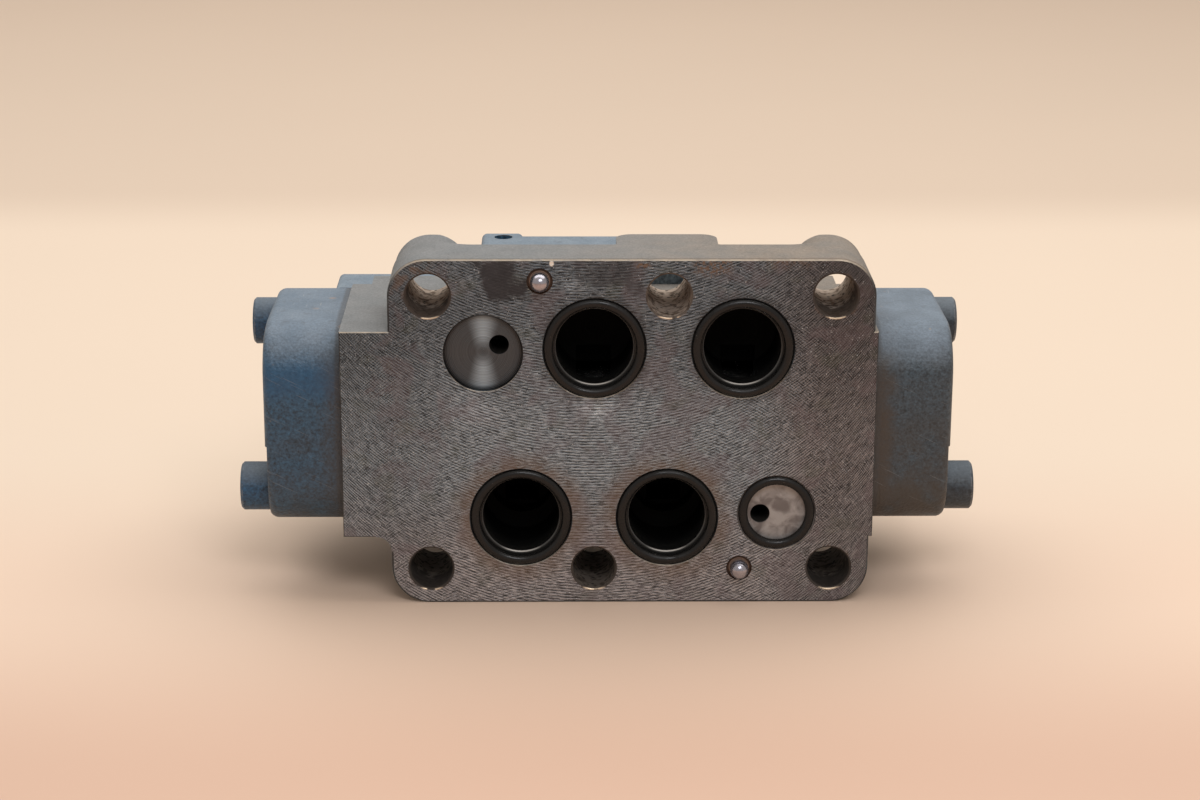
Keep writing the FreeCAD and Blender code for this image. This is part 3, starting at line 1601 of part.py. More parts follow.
subparts = all_subparts()
doc.recompute()
check_document()
export(subparts)
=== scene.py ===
"""Looks of a pilot-operated hydraulic directional valve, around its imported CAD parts.

The row frame has X along the spool, Y from the mounting face into the valve and Z up. Materials are worked
out from the place on the part in millimetres, and every piece and light is in metres.
"""

import json
import math

import bmesh
import bpy
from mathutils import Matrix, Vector


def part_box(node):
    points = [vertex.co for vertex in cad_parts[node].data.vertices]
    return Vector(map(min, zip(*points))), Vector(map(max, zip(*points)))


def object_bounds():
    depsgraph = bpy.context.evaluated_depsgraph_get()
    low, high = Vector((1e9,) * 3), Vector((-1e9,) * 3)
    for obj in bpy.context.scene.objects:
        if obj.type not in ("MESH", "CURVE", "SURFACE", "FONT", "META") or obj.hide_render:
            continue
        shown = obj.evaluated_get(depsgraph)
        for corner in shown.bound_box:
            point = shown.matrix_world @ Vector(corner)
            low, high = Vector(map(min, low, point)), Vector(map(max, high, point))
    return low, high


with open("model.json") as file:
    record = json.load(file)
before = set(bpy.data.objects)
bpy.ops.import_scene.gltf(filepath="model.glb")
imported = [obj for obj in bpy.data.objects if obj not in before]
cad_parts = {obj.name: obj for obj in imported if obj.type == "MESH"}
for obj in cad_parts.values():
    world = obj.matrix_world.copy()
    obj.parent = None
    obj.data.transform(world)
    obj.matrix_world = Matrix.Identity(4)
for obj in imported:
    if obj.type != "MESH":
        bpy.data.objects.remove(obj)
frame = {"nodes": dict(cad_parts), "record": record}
cad_low, cad_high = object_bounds()
nodes = frame["nodes"]

MM = 0.001

# Places on the mounting face, in millimetres, as (x, z) of a hole in the upper half. The lower half holds the
# same pattern turned by half a turn, at (-x, -z). LOWER_PIN is given in that turned way too, and CORNER_BOLT
# stands for the holes on both sides.
PRESSURE_PORT = (-11.9, 28.55)
TANK_PORT = (35.7, 28.55)
PILOT_PORT = (-47.6, 27.05)
MIDDLE_BOLT = (11.9, 46.05)
CORNER_BOLT = (65.1, 46.05)
UPPER_PIN = (-29.4, 50.85)
LOWER_PIN = (-35.7, 46.05)
PORT_RADIUS = 12.5
RING_RADIUS = 16.4
PILOT_RADIUS = 12.5
BOLT_RADIUS = 7.0
PIN_MOUTH_RADIUS = 4.0
FLANGE_DEPTH = 20.0
BOSS_DEPTH = 34.5
OTHER_HALF = 100.0
LEFT_JOINT = -93.6
RIGHT_JOINT = 79.1
FRESH_BAND_Z = 17.0

# Marks seen on the mounting face, in millimetres, as (x, z) of their middles.
CUTTER_RADIUS = 110.0
CUTTER_X = -12.0
# Middles of the painted sheen: soft patches of the face painted lighter as highlights.
MAIN_PAINTED_SHEEN = (-11.0, 9.0)
UPPER_PAINTED_SHEEN = (-18.5, 49.0)
LEFT_PAINTED_SHEEN = (-50.0, 8.0)
OIL_PATCH = (-41.5, 51.5)
OIL_PATCH_SLANT_Z = 51.0
OIL_SMEAR = (-8.0, 54.0)
OIL_SMEAR_SLANT_Z = 52.0
TOP_RUST_X = 25.5
WEAK_RUST_X = 50.0
RUST_SPOT = (3.5, 56.0)
CORNER_RUST = (-70.0, 52.0)
NICK = (-25.6, 56.6)
PIT = (-32.0, -5.0)

# Colours of the paint, its dust and what wears through it.
BLUE = (0.025, 0.073, 0.127)
FRESH_BLUE = (0.014, 0.082, 0.180)
GREYED_BLUE = (0.037, 0.059, 0.078)
DUSTY_BLUE = (0.175, 0.218, 0.268)
DUSTY_ADAPTER_BLUE = (0.21, 0.255, 0.30)
DUSTY_PLATE_BLUE = (0.22, 0.26, 0.30)
BROWN_STAIN = (0.046, 0.037, 0.029)
JOINT_GRIME = (0.052, 0.043, 0.036)
SEAM_SHADOW = (0.05, 0.05, 0.052)
RUST_FLECK = (0.34, 0.22, 0.14)
DARK_BARE_METAL = (0.10, 0.075, 0.06)
PALE_BARE_METAL = (0.34, 0.31, 0.28)
SCRATCH_GREY = (0.34, 0.35, 0.36)
CREVICE_DIRT = (0.05, 0.045, 0.04)
SKIN_STAIN = (0.09, 0.075, 0.06)

# Steps between the noise of one seed and the next, and the sockets of the mix node for each kind of value.
CLOUD_STEP = (17.3, 5.1, 9.7)
SPECK_STEP = (11.9, 23.3, 4.1)
MIX_SHARE = 0
MIX_COLOURS = (6, 7)
MIX_COLOUR_OUT = 2
MIX_NUMBERS = (2, 3)
MIX_NUMBER_OUT = 0

# Studio, in metres and watts, and the floor's bands of painted light and shade in millimetres along Y.
FLOOR_HALF = 3.0
FLOOR_CELLS = 8
FLOOR_Y = 0.8
REAR_BAND = (520.0, 640.0)
FAR_BAND = (700.0, 2200.0)
FRONT_BAND = (170.0, 0.0)
NEAR_BAND = (0.0, -140.0)
FLOOR_COLOUR = (0.745, 0.61, 0.485)
REAR_COLOUR = (0.645, 0.515, 0.405)
FAR_COLOUR = (0.82, 0.635, 0.49)
FRONT_COLOUR = (0.745, 0.56, 0.432)
NEAR_COLOUR = (0.63, 0.418, 0.307)
SURROUND_COLOUR = (1.0, 0.93, 0.86, 1.0)
SURROUND_STRENGTH = 0.53
LAMPS = (
    {
        "name": "overhead_softbox",
        "place": (0.05, 0.55, 1.15),
        "target": (0.0, 0.25, 0.0),
        "size": (2.2, 1.4),
        "power": 17.4,
        "colour": (1.0, 0.98, 0.95),
    },
    {
        "name": "front_softbox",
        "place": (0.10, -0.62, 0.62),
        "target": (0.0, -0.05, -0.03),
        "size": (0.40, 0.30),
        "power": 2.4,
        "colour": (0.95, 0.96, 1.0),
    },
)
# The camera was fitted to the port pattern in the photo. Its lens and sensor are in millimetres.
LENS = 80.04
SENSOR_WIDTH = 36.0
CAMERA_PLACE = (-0.023576, -0.821683, 0.259564)
CAMERA_TURN = (73.2008, -0.2029, -0.8784)
CAMERA_REACH = 20.0


class Signal:
    """A number that varies over a surface. Signals add, subtract, multiply and divide like numbers."""

    def __init__(self, surface, socket):
        self.surface = surface
        self.socket = socket

    def __add__(self, other):
        return self.surface.math("ADD", self, other)

    def __sub__(self, other):
        return self.surface.math("SUBTRACT", self, other)

    def __rsub__(self, other):
        return self.surface.math("SUBTRACT", other, self)

    def __mul__(self, other):
        return self.surface.math("MULTIPLY", self, other)

    def __truediv__(self, other):
        return self.surface.math("DIVIDE", self, other)

    def __abs__(self):
        return self.surface.math("ABSOLUTE", self)

    __radd__ = __add__
    __rmul__ = __mul__


class Surface:
    """A material with one principled shader, fed by signals worked out from the place on the part."""

    def __init__(self, name):
        self.material = bpy.data.materials.new(name)
        self.material.use_nodes = True
        self.tree = self.material.node_tree
        self.tree.nodes.clear()
        self.shader = self.node("ShaderNodeBsdfPrincipled")
        output = self.node("ShaderNodeOutputMaterial")
        self.tree.links.new(self.shader.outputs[0], output.inputs[0])
        metres = self.node("ShaderNodeTexCoord").outputs["Object"]
        scale = self.node("ShaderNodeVectorMath", operation="SCALE")
        self.tree.links.new(metres, scale.inputs[0])
        scale.inputs["Scale"].default_value = 1 / MM
        self.place = scale.outputs[0]
        self.x, self.y, self.z = self.parts(self.place)
        facing = self.node("ShaderNodeNewGeometry").outputs["True Normal"]
        _, self.facing_y, self.facing_z = self.parts(facing)

    def node(self, kind, **settings):
        """Adds a node of that kind and sets its properties."""
        node = self.tree.nodes.new(kind)
        for key, value in settings.items():
            setattr(node, key, value)
        return node

    def feed(self, socket, value):
        """Links a signal or socket to an input, or sets the input to a number or colour."""
        if isinstance(value, Signal):
            self.tree.links.new(value.socket, socket)
        elif isinstance(value, bpy.types.NodeSocket):
            self.tree.links.new(value, socket)
        elif isinstance(value, tuple) and socket.type == "RGBA":
            socket.default_value = (*value, 1.0)
        else:
            socket.default_value = value

    def parts(self, vector):
        split = self.node("ShaderNodeSeparateXYZ")
        self.feed(split.inputs[0], vector)
        return [Signal(self, socket) for socket in split.outputs]

    def vector(self, x, y, z):
        join = self.node("ShaderNodeCombineXYZ")
        for socket, value in zip(join.inputs, (x, y, z)):
            self.feed(socket, value)
        return join.outputs[0]

    def math(self, operation, *values):
        node = self.node("ShaderNodeMath", operation=operation)
        for socket, value in zip(node.inputs, values):
            self.feed(socket, value)
        return Signal(self, node.outputs[0])

    def least(self, *signals):
        found = signals[0]
        for signal in signals[1:]:
            found = self.math("MINIMUM", found, signal)
        return found

    def most(self, *signals):
        found = signals[0]
        for signal in signals[1:]:
            found = self.math("MAXIMUM", found, signal)
        return found

    def wave(self, value, length):
        """Swings between -1 and 1, once for each length of value."""
        return self.math("SINE", value * (2 * math.pi / length))

    def away(self, a, b):
        """The distance of the point (a, b) from (0, 0)."""
        node = self.node("ShaderNodeVectorMath", operation="LENGTH")
        self.feed(node.inputs[0], self.vector(a, b, 0.0))
        return Signal(self, node.outputs["Value"])

    def ramp(self, value, start, end):
        """0 at start and 1 at end, rising smoothly between. The start may be the larger of the two."""
        node = self.node("ShaderNodeMapRange", interpolation_type="SMOOTHSTEP")
        for name, number in (("Value", value), ("From Min", start), ("From Max", end)):
            self.feed(node.inputs[name], number)
        return Signal(self, node.outputs[0])

    def shifted(self, place, step, seed):
        """A place moved by the seed, so that each seed reads another part of the noise."""
        shift = self.node("ShaderNodeVectorMath", operation="ADD")
        self.feed(shift.inputs[0], place)
        shift.inputs[1].default_value = [seed * along for along in step]
        return shift.outputs[0]

    def cloud(self, size, detail, seed, at=None, rough=0.5, warp=0.0):
        """Noise of about 0.3 to 0.7 with blotches of that size in millimetres."""
        node = self.node("ShaderNodeTexNoise")
        self.feed(node.inputs["Vector"], self.shifted(self.place if at is None else at, CLOUD_STEP, seed))
        node.inputs["Scale"].default_value = 1 / size
        node.inputs["Detail"].default_value = detail
        node.inputs["Roughness"].default_value = rough
        node.inputs["Distortion"].default_value = warp
        return Signal(self, node.outputs[0])

    def specks(self, spacing, radius, seed):
        """1 inside scattered round specks, with one speck for each cell of that spacing."""
        node = self.node("ShaderNodeTexVoronoi")
        self.feed(node.inputs["Vector"], self.shifted(self.place, SPECK_STEP, seed))
        node.inputs["Scale"].default_value = 1 / spacing
        return self.ramp(Signal(self, node.outputs["Distance"]), radius / spacing, 0.5 * radius / spacing)

    def blend(self, share, first, second):
        """The first colour where share is 0 and the second where it is 1."""
        node = self.node("ShaderNodeMix", data_type="RGBA")
        self.feed(node.inputs[MIX_SHARE], share)
        for index, colour in zip(MIX_COLOURS, (first, second)):
            self.feed(node.inputs[index], colour)
        return node.outputs[MIX_COLOUR_OUT]

    def shade(self, colour, factor):
        """A colour made lighter or darker by a signal."""
        node = self.node("ShaderNodeVectorMath", operation="SCALE")
        self.feed(node.inputs[0], colour)
        self.feed(node.inputs["Scale"], factor)
        return node.outputs[0]

    def swap(self, share, first, second):
        """The first number where share is 0 and the second where it is 1."""
        node = self.node("ShaderNodeMix", data_type="FLOAT")
        self.feed(node.inputs[MIX_SHARE], share)
        for index, number in zip(MIX_NUMBERS, (first, second)):
            self.feed(node.inputs[index], number)
        return Signal(self, node.outputs[MIX_NUMBER_OUT])

    def worn_edge(self, radius, threshold=0.04):
        """1 along edges, within a radius in millimetres."""
        bevel = self.node("ShaderNodeBevel", samples=4)
        bevel.inputs["Radius"].default_value = radius * MM
        normal = self.node("ShaderNodeNewGeometry").outputs["Normal"]
        dot = self.node("ShaderNodeVectorMath", operation="DOT_PRODUCT")
        self.feed(dot.inputs[0], bevel.outputs[0])
        self.feed(dot.inputs[1], normal)
        turned = 1.0 - Signal(self, dot.outputs["Value"])
        return self.ramp(turned, 0.5 * threshold, threshold)

    def finish(self, colour, metallic, roughness, height, **uniform):
        """Feeds the shader. The height is in millimetres, and uniform values are set on the shader itself."""
        self.feed(self.shader.inputs["Base Color"], colour)
        self.feed(self.shader.inputs["Metallic"], metallic)
        self.feed(self.shader.inputs["Roughness"], roughness)
        bump = self.node("ShaderNodeBump")
        bump.inputs["Strength"].default_value = 1.0
        bump.inputs["Distance"].default_value = MM
        self.feed(bump.inputs["Height"], height)
        self.feed(self.shader.inputs["Normal"], bump.outputs[0])
        for name, value in uniform.items():
            self.shader.inputs[name.replace("_", " ").title().replace("Ior", "IOR")].default_value = value
        return self.material


def paint_layers(surface, seed, blue, dusty, stain, stained_share=0.25):
    """Old machine paint, as (colour, roughness, height): dust on what faces up, and stain in the shade."""
    dust_cloud = surface.cloud(9.0, 4, seed)
    fine_dust = surface.cloud(0.7, 3, seed + 1)
    faces_up = surface.ramp(surface.facing_z, 0.12, 0.85)
    dust = faces_up * surface.ramp(dust_cloud, 0.2, 0.75) * 0.35 + faces_up * 0.55
    stained = surface.ramp(surface.cloud(16.0, 4, seed + 2, warp=0.4), 0.45, 0.68)
    drips = surface.vector(surface.x / 3.5, surface.y / 3.5, surface.z / 22.0)
    streaks = surface.ramp(surface.cloud(1.0, 3, seed + 3, at=drips), 0.5, 0.72) * (1.0 - faces_up)
    colour = surface.blend(stained * stained_share, blue, stain)
    colour = surface.blend(streaks * 0.6 * stained_share, colour, stain)
    colour = surface.blend(dust, colour, dusty)
    leather = fine_dust + surface.cloud(1.2, 2, seed + 14) - 1.0
    mottle = fine_dust + leather * (3.2 - 2.6 * faces_up)
    colour = surface.shade(colour, 0.75 + 0.5 * mottle)
    peel = surface.cloud(1.0, 2, seed + 4)
    casting = surface.cloud(5.0, 3, seed + 5)
    roughness = 0.34 + 0.3 * dust + 0.16 * fine_dust + 0.1 * stained
    height = 0.26 * peel + 0.16 * casting + 0.02 * fine_dust
    return colour, roughness, height


def painted(name, seed, blue, dusty, stain, chips=0.5, joint=None, low_grime=0.0, fresh=0.0):
    """Painted casting or plate, with worn edges, small chips down to the metal and grime near its joint."""
    surface = Surface(name)
    colour, roughness, height = paint_layers(surface, seed, blue, dusty, stain)
    ragged = surface.cloud(2.2, 4, seed + 6)
    from_band = abs(surface.z - FRESH_BAND_Z + 5.0 * (surface.cloud(8.0, 2, seed + 13) - 0.5))
    band = surface.ramp(from_band, 10.0, 2.0)
    shaded = 1.0 - surface.ramp(surface.facing_z, 0.2, 0.7)
    colour = surface.blend(band * shaded * fresh, colour, FRESH_BLUE)
    low = surface.ramp(surface.z, 20.0, -28.0) * surface.ramp(surface.cloud(14.0, 3, seed + 9), 0.25, 0.6)
    colour = surface.blend(low * low_grime, colour, stain)
    if joint is not None:
        from_joint = abs(surface.x - joint)
        grime = surface.ramp(from_joint + 9.0 * (surface.cloud(6.0, 4, seed + 10) - 0.5), 9.0, 1.0)
        grime = grime * (0.2 + 0.8 * shaded) * (0.12 + low_grime)
        colour = surface.blend(grime, colour, JOINT_GRIME)
        seam = surface.ramp(from_joint, 2.6, 1.4)
        colour = surface.blend(seam * 0.6, colour, SEAM_SHADOW)
        rust_flecks = surface.specks(9.0, 1.7, seed + 11) * surface.ramp(from_joint, 14.0, 8.0)
        rust_flecks = rust_flecks * (1.0 - shaded)
        colour = surface.blend(rust_flecks * 0.35, colour, RUST_FLECK)
    edge = surface.worn_edge(0.9) * surface.ramp(ragged, 0.47, 0.6)
    spots = surface.specks(7.0, 0.55, seed) * surface.ramp(surface.cloud(20.0, 1, seed + 7), 0.45, 0.6)
    chipped = surface.most(edge, spots) * chips
    bare = surface.blend(ragged, DARK_BARE_METAL, PALE_BARE_METAL)
    colour = surface.blend(chipped, colour, bare)
    slanted = (surface.x + 2.0 * surface.z) / 0.5
    across = surface.vector(slanted, surface.y / 9.0, (surface.z - surface.x) / 20)
    scratched = surface.ramp(surface.cloud(1.0, 2, seed + 12, at=across), 0.69, 0.75)
    colour = surface.blend(scratched * 0.35, colour, SCRATCH_GREY)
    crevice = surface.ramp(surface.cloud(4.0, 3, seed + 8), 0.6, 0.75) * 0.25
    colour = surface.blend(crevice, colour, CREVICE_DIRT)
    roughness = surface.swap(chipped, roughness, 0.45)
    return surface.finish(colour, 0.6 * chipped, roughness, height - 0.05 * chipped)


def housing():
    """The cast housing: painted skin, milled face, bolt holes, oily ports and turned pilot recesses."""
    s = Surface("cast_housing_finish")
    side = s.math("SIGN", s.z)
    u = side * s.x
    v = abs(s.z)

    def from_point(point, across=u):
        return s.away(across - point[0], v - point[1])

    from_port = s.least(from_point(PRESSURE_PORT), from_point(TANK_PORT))
    from_pilot = from_point(PILOT_PORT)
    from_bolt = s.least(from_point(MIDDLE_BOLT), from_point(CORNER_BOLT, abs(s.x)))
    upper = s.ramp(s.z, -1.0, 1.0)
    from_pin = s.least(
        from_point(UPPER_PIN) + OTHER_HALF * (1.0 - upper),
        from_point(LOWER_PIN) + OTHER_HALF * upper,
    )
    faces_front = s.ramp(s.facing_y, -0.8, -0.95)
    block_skin = s.ramp(v, 33.0, 33.6) * s.ramp(side * s.facing_z, 0.05, 0.3)
    behind_flange = s.ramp(s.y, FLANGE_DEPTH - 1.5, FLANGE_DEPTH - 0.5)
    outside = behind_flange * s.most(block_skin, s.ramp(s.facing_y, 0.1, 0.4), s.ramp(s.y, 50.0, 52.0))
    near_face = s.ramp(s.y, 0.12, 0.06)
    face = faces_front * near_face

    # Painted skin.
    rightward = s.ramp(s.x, -50.0, 60.0)
    skin_dust = s.blend(rightward, (0.205, 0.206, 0.206), (0.250, 0.203, 0.160))
    skin_layers = paint_layers(s, 20, (0.075, 0.095, 0.105), skin_dust, SKIN_STAIN, 0.3)
    skin, skin_roughness, skin_height = skin_layers
    sand = s.cloud(0.9, 4, 31, rough=0.7)
    skin = s.shade(skin, 0.72 + 0.56 * sand)
    skin_height = 0.6 * skin_height + 0.16 * sand
    damp_edge = s.ramp(s.y + 5.0 * s.cloud(5.0, 3, 57), 6.0, 2.0) * s.ramp(s.facing_z, 0.3, 0.9) * rightward
    skin = s.blend(damp_edge * 0.45, skin, (0.16, 0.11, 0.075))

    # Milled face: short broken strokes along the cutter's arcs.
    across = s.x - CUTTER_X
    sagitta = s.math("SQRT", CUTTER_RADIUS**2 - across * across)
    leading = s.z + sagitta + 0.5 * s.cloud(30.0, 1, 32)
    trailing = s.z - sagitta
    lead_strokes = s.cloud(1.0, 2, 33, at=s.vector(leading / 0.24, s.x / 2.6, 0.0), rough=0.6)
    trail_strokes = s.cloud(1.0, 2, 34, at=s.vector(trailing / 0.24, s.x / 2.0, 0.0), rough=0.6)
    marks_here = s.ramp(s.cloud(9.0, 2, 35), 0.38, 0.62)
    lines = s.wave(leading, 0.98) * (0.5 + 0.5 * marks_here)
    cross_lines = s.wave(trailing, 1.07) * (1.0 - 0.7 * marks_here)
    grain = s.cloud(0.30, 2, 36, rough=0.8)
    strokes = 3.2 * (lead_strokes - 0.5) + 1.8 * (trail_strokes - 0.5) * (1.2 - marks_here)
    hatch = 0.42 + 0.34 * lines + 0.20 * cross_lines + strokes + 2.2 * (grain - 0.5)
    hatch.socket.node.use_clamp = True

    # Its tone: darker at the top and lighter below as a painted reflection of the floor, painted shade at the
    # sides, warmer below, with a painted sheen and tinted films of oil.
    face_tone = s.cloud(26.0, 3, 37)
    # Painted reflection: the face is painted lighter towards the bottom. Painted shade: it is painted darker
    # towards both sides.
    painted_floor_reflection = 0.60 + 0.52 * s.ramp(s.z, 46.0, -10.0) + 0.22 * s.ramp(s.z, -20.0, -58.0)
    painted_side_shade = 1.0 - 0.36 * s.ramp(s.x, 40.0, 66.0) - 0.22 * s.ramp(s.x, -50.0, -82.0)
    face_colour = s.blend(hatch, (0.045, 0.053, 0.060), (0.37, 0.425, 0.475))
    warm = s.most(s.ramp(s.z, -12.0, -50.0), s.ramp(s.x, 36.0, 62.0))
    warm_colour = s.blend(hatch, (0.055, 0.046, 0.044), (0.46, 0.36, 0.33))
    face_colour = s.blend(warm * 0.45, face_colour, warm_colour)
    face_colour = s.shade(face_colour, painted_floor_reflection * painted_side_shade * (0.72 + 0.56 * face_tone))
    # Painted glints: small bright specks painted on the milled face.
    painted_glints = s.ramp(s.cloud(0.45, 1, 58), 0.69, 0.77)
    face_colour = s.blend(painted_glints * 0.6, face_colour, (0.75, 0.78, 0.80))
    # Painted sheen: soft patches of the face painted lighter as highlights.
    sheen = s.most(
        s.ramp(s.away(s.x - MAIN_PAINTED_SHEEN[0], (s.z - MAIN_PAINTED_SHEEN[1]) * 1.4), 9.0, 1.0),
        s.ramp(s.away(s.x - UPPER_PAINTED_SHEEN[0], (s.z - UPPER_PAINTED_SHEEN[1]) * 1.8), 5.5, 1.0) * 0.8,
        s.ramp(s.away((s.x - LEFT_PAINTED_SHEEN[0]) * 0.6, s.z - LEFT_PAINTED_SHEEN[1]), 8.0, 1.0) * 0.5,
    )
    face_colour = s.shade(face_colour, 1.0 + 0.8 * sheen)
    reddish = s.ramp(s.cloud(11.0, 3, 38, warp=0.6), 0.48, 0.66)
    face_colour = s.blend(reddish * 0.34, face_colour, (0.150, 0.105, 0.108))
    greenish = s.ramp(s.cloud(8.0, 2, 39), 0.55, 0.7)
    face_colour = s.blend(greenish * 0.22, face_colour, (0.12, 0.13, 0.10))
    halo = s.ramp(from_port, 25.0, 16.6) * (1.0 - upper) * s.ramp(s.cloud(7.0, 3, 40), 0.2, 0.6)
    face_colour = s.blend(halo * 0.6, face_colour, (0.17, 0.115, 0.08))
    upper_oil = s.ramp(from_port, 20.0, 16.5) * upper * s.ramp(s.cloud(6.0, 3, 59), 0.35, 0.6)
    face_colour = s.blend(upper_oil * 0.5, face_colour, (0.05, 0.046, 0.044))

    # Its marks: a dark oil patch and smear at the top, rust, a bright nick and a pit.
    wander = 22.0 * (s.cloud(7.0, 4, 61) - 0.5)
    patch_slant = s.x - OIL_PATCH[0] + 0.35 * (s.z - OIL_PATCH_SLANT_Z)
    past_patch = s.most(abs(patch_slant) - 6.4, abs(s.z - OIL_PATCH[1]) - 6.6) + wander
    patch = s.ramp(past_patch, 2.5, -2.5)
    smear_slant = s.x - OIL_SMEAR[0] + 0.4 * (s.z - OIL_SMEAR_SLANT_Z)
    past_smear = s.most(abs(smear_slant) - 9.0, abs(s.z - OIL_SMEAR[1]) - 4.0) + wander
    patch = s.most(patch, s.ramp(past_smear, 2.5, -2.0) * 0.6)
    face_colour = s.blend(patch * 0.92, face_colour, (0.034, 0.035, 0.041))
    rust_grain = s.ramp(s.cloud(1.1, 4, 41, rough=0.7), 0.42, 0.6)
    edge_depth = s.z + 5.0 * s.cloud(5.0, 3, 62)
    top_rust = s.ramp(abs(s.x - TOP_RUST_X), 7.5, 4.5) * s.ramp(edge_depth, 54.0, 58.0) * rust_grain
    weak_rust = s.ramp(abs(s.x - WEAK_RUST_X), 9.0, 4.5) * s.ramp(edge_depth, 56.5, 59.0)
    weak_rust = weak_rust * rust_grain * 0.6
    spot_rust = s.ramp(s.away((s.x - RUST_SPOT[0]) / 2.0, s.z - RUST_SPOT[1]), 1.9, 0.6) * rust_grain
    rim_rust = s.ramp(from_bolt, 8.6, 7.4) * s.ramp(s.cloud(3.0, 3, 42), 0.5, 0.66) * 0.45
    corner_rust = s.ramp(s.away(s.x - CORNER_RUST[0], s.z - CORNER_RUST[1]), 12.0, 4.0)
    corner_rust = corner_rust * s.ramp(s.cloud(4.0, 3, 43), 0.45, 0.6)
    rust = s.most(top_rust, weak_rust, spot_rust, rim_rust, corner_rust * 0.5)
    rust_colour = s.blend(s.cloud(1.6, 3, 44), (0.075, 0.040, 0.022), (0.25, 0.15, 0.09))
    face_colour = s.blend(rust * 0.88, face_colour, rust_colour)
    nick = s.ramp(s.away(s.x - NICK[0], (s.z - NICK[1]) * 0.8), 0.9, 0.5)
    face_colour = s.blend(nick, face_colour, (0.85, 0.80, 0.72))
    pit = s.ramp(s.away(s.x - PIT[0], s.z - PIT[1]), 0.55, 0.3)
    face_colour = s.blend(pit * 0.8, face_colour, (0.02, 0.018, 0.016))
    rusty = s.most(rust, reddish * 0.3)

    face_metal = 0.92 - 0.6 * rusty - 0.25 * patch
    face_roughness = 0.40 + 0.16 * face_tone + 0.2 * rusty - 0.08 * patch
    scratch_lines = s.vector((s.z - 0.7 * s.x) / 0.35, (s.x + 0.7 * s.z) / 14.0, 0.0)
    scratched = s.ramp(s.cloud(1.0, 2, 45, at=scratch_lines), 0.66, 0.72)
    relief = (1.0 - patch * 0.85) * 0.012
    face_height = relief * (lines + cross_lines + 4.0 * hatch) - 0.02 * scratched - 0.2 * pit

    # Edges of the face, dinged to bare metal, with a painted highlight along the top edge and painted shade
    # along the others.
    chamfer = s.ramp(s.y, 0.60, 0.45) * (1.0 - face)
    lit_top_edge = s.ramp(s.facing_z, 0.2, 0.6)
    worn_and_highlit_edge = chamfer * (0.45 + 0.55 * s.ramp(s.cloud(5.0, 3, 46), 0.35, 0.6))
    # Painted highlight and shade: the chamfer is painted bright where it faces up and dark where it does not.
    lit_and_shaded_edge_colour = s.blend(lit_top_edge, (0.045, 0.045, 0.048), (0.42, 0.36, 0.29))

    # Bolt holes: dark brown towards the mouth, and paler with dark specks deeper in. The lower holes and the
    # chamfer ring are painted darker as shade, and a painted glint lies on the low part of the lip.
    in_bolt = s.ramp(from_bolt, BOLT_RADIUS + 0.75, BOLT_RADIUS + 0.7)
    in_bolt = in_bolt * s.ramp(s.y, BOSS_DEPTH + 1.0, BOSS_DEPTH + 0.5)
    mouth = s.ramp(s.y + 18.0 * (s.cloud(3.5, 3, 47) - 0.5), 17.0, 9.0)
    mouth = mouth * (0.45 + 0.55 * s.ramp(abs(s.x), 25.0, 35.0))
    tarnish = s.ramp(s.cloud(2.2, 4, 48), 0.45, 0.64)
    bore_colour = s.blend(tarnish, (0.66, 0.54, 0.44), (0.22, 0.155, 0.108))
    bore_colour = s.blend(s.specks(2.2, 0.7, 3), bore_colour, (0.03, 0.02, 0.015))
    mouth_colour = s.blend(s.cloud(1.5, 3, 49), (0.013, 0.008, 0.005), (0.085, 0.048, 0.028))
    bore_colour = s.blend(mouth * 0.93, bore_colour, mouth_colour)
    # Painted shade: the lower holes are painted darker than the upper ones.
    bore_colour = s.shade(bore_colour, 0.26 + 0.58 * upper)
    # Painted shade: the chamfer ring is painted dark.
    in_chamfer = s.ramp(s.y, 0.68, 0.58)
    bore_colour = s.blend(in_chamfer * 0.8, bore_colour, (0.045, 0.036, 0.030))
    # Painted glint: the low part of the lip is painted bright.
    below_axis = side * CORNER_BOLT[1] - s.z
    lip = in_chamfer * in_bolt * s.ramp(below_axis, 6.4, 7.2) * s.ramp(from_bolt, 7.2, 7.4)

    # Ports: machined steel under a film of dark oil, painted darker deeper in as shade, with a painted
    # highlight on the low part of the bore rim.
    in_port = s.ramp(from_port, RING_RADIUS + 0.12, RING_RADIUS + 0.08) * (1.0 - outside)
    port_turning = s.cloud(1.0, 2, 50, at=s.vector(s.y / 0.3, from_port / 0.3, s.x / 30.0))
    port_colour = s.blend(port_turning, (0.006, 0.006, 0.006), (0.040, 0.039, 0.037))
    # Painted shade: the port is painted darker deeper in.
    port_depth = s.ramp(s.y, 5.0, 16.0)
    port_colour = s.blend(port_depth * 0.75, port_colour, (0.0035, 0.0035, 0.0035))
    # Painted highlight: the low part of the bore rim is painted bright and the rest of it dark.
    bore_rim = s.ramp(abs(from_port - PORT_RADIUS - 0.1), 0.3, 0.15) * s.ramp(s.y, 3.2, 2.9)
    low_in_port = s.ramp(side * PRESSURE_PORT[1] - s.z, 10.5, 12.6)
    rim_highlight_colour = s.blend(low_in_port, (0.085, 0.083, 0.080), (0.50, 0.48, 0.45))
    port_colour = s.blend(bore_rim, port_colour, rim_highlight_colour)
    port_metal = 0.5 + 0.5 * port_depth
    port_roughness = 0.3 + 0.4 * port_depth

    # Pilot recesses: faced with a turning tool. The upper one, Y, has a painted streak of reflected light and
    # a dark ring painted as shade at its wall. The lower one, X, is blotchy. Deeper in, both are painted dark
    # as shade.
    in_pilot = s.ramp(from_pilot, PILOT_RADIUS + 0.25, PILOT_RADIUS + 0.2) * (1.0 - behind_flange)
    turning = s.cloud(1.0, 2, 51, at=s.vector(from_pilot / 0.25, 0.0, 0.0), rough=0.8)
    turned_lines = s.wave(from_pilot, 0.5)
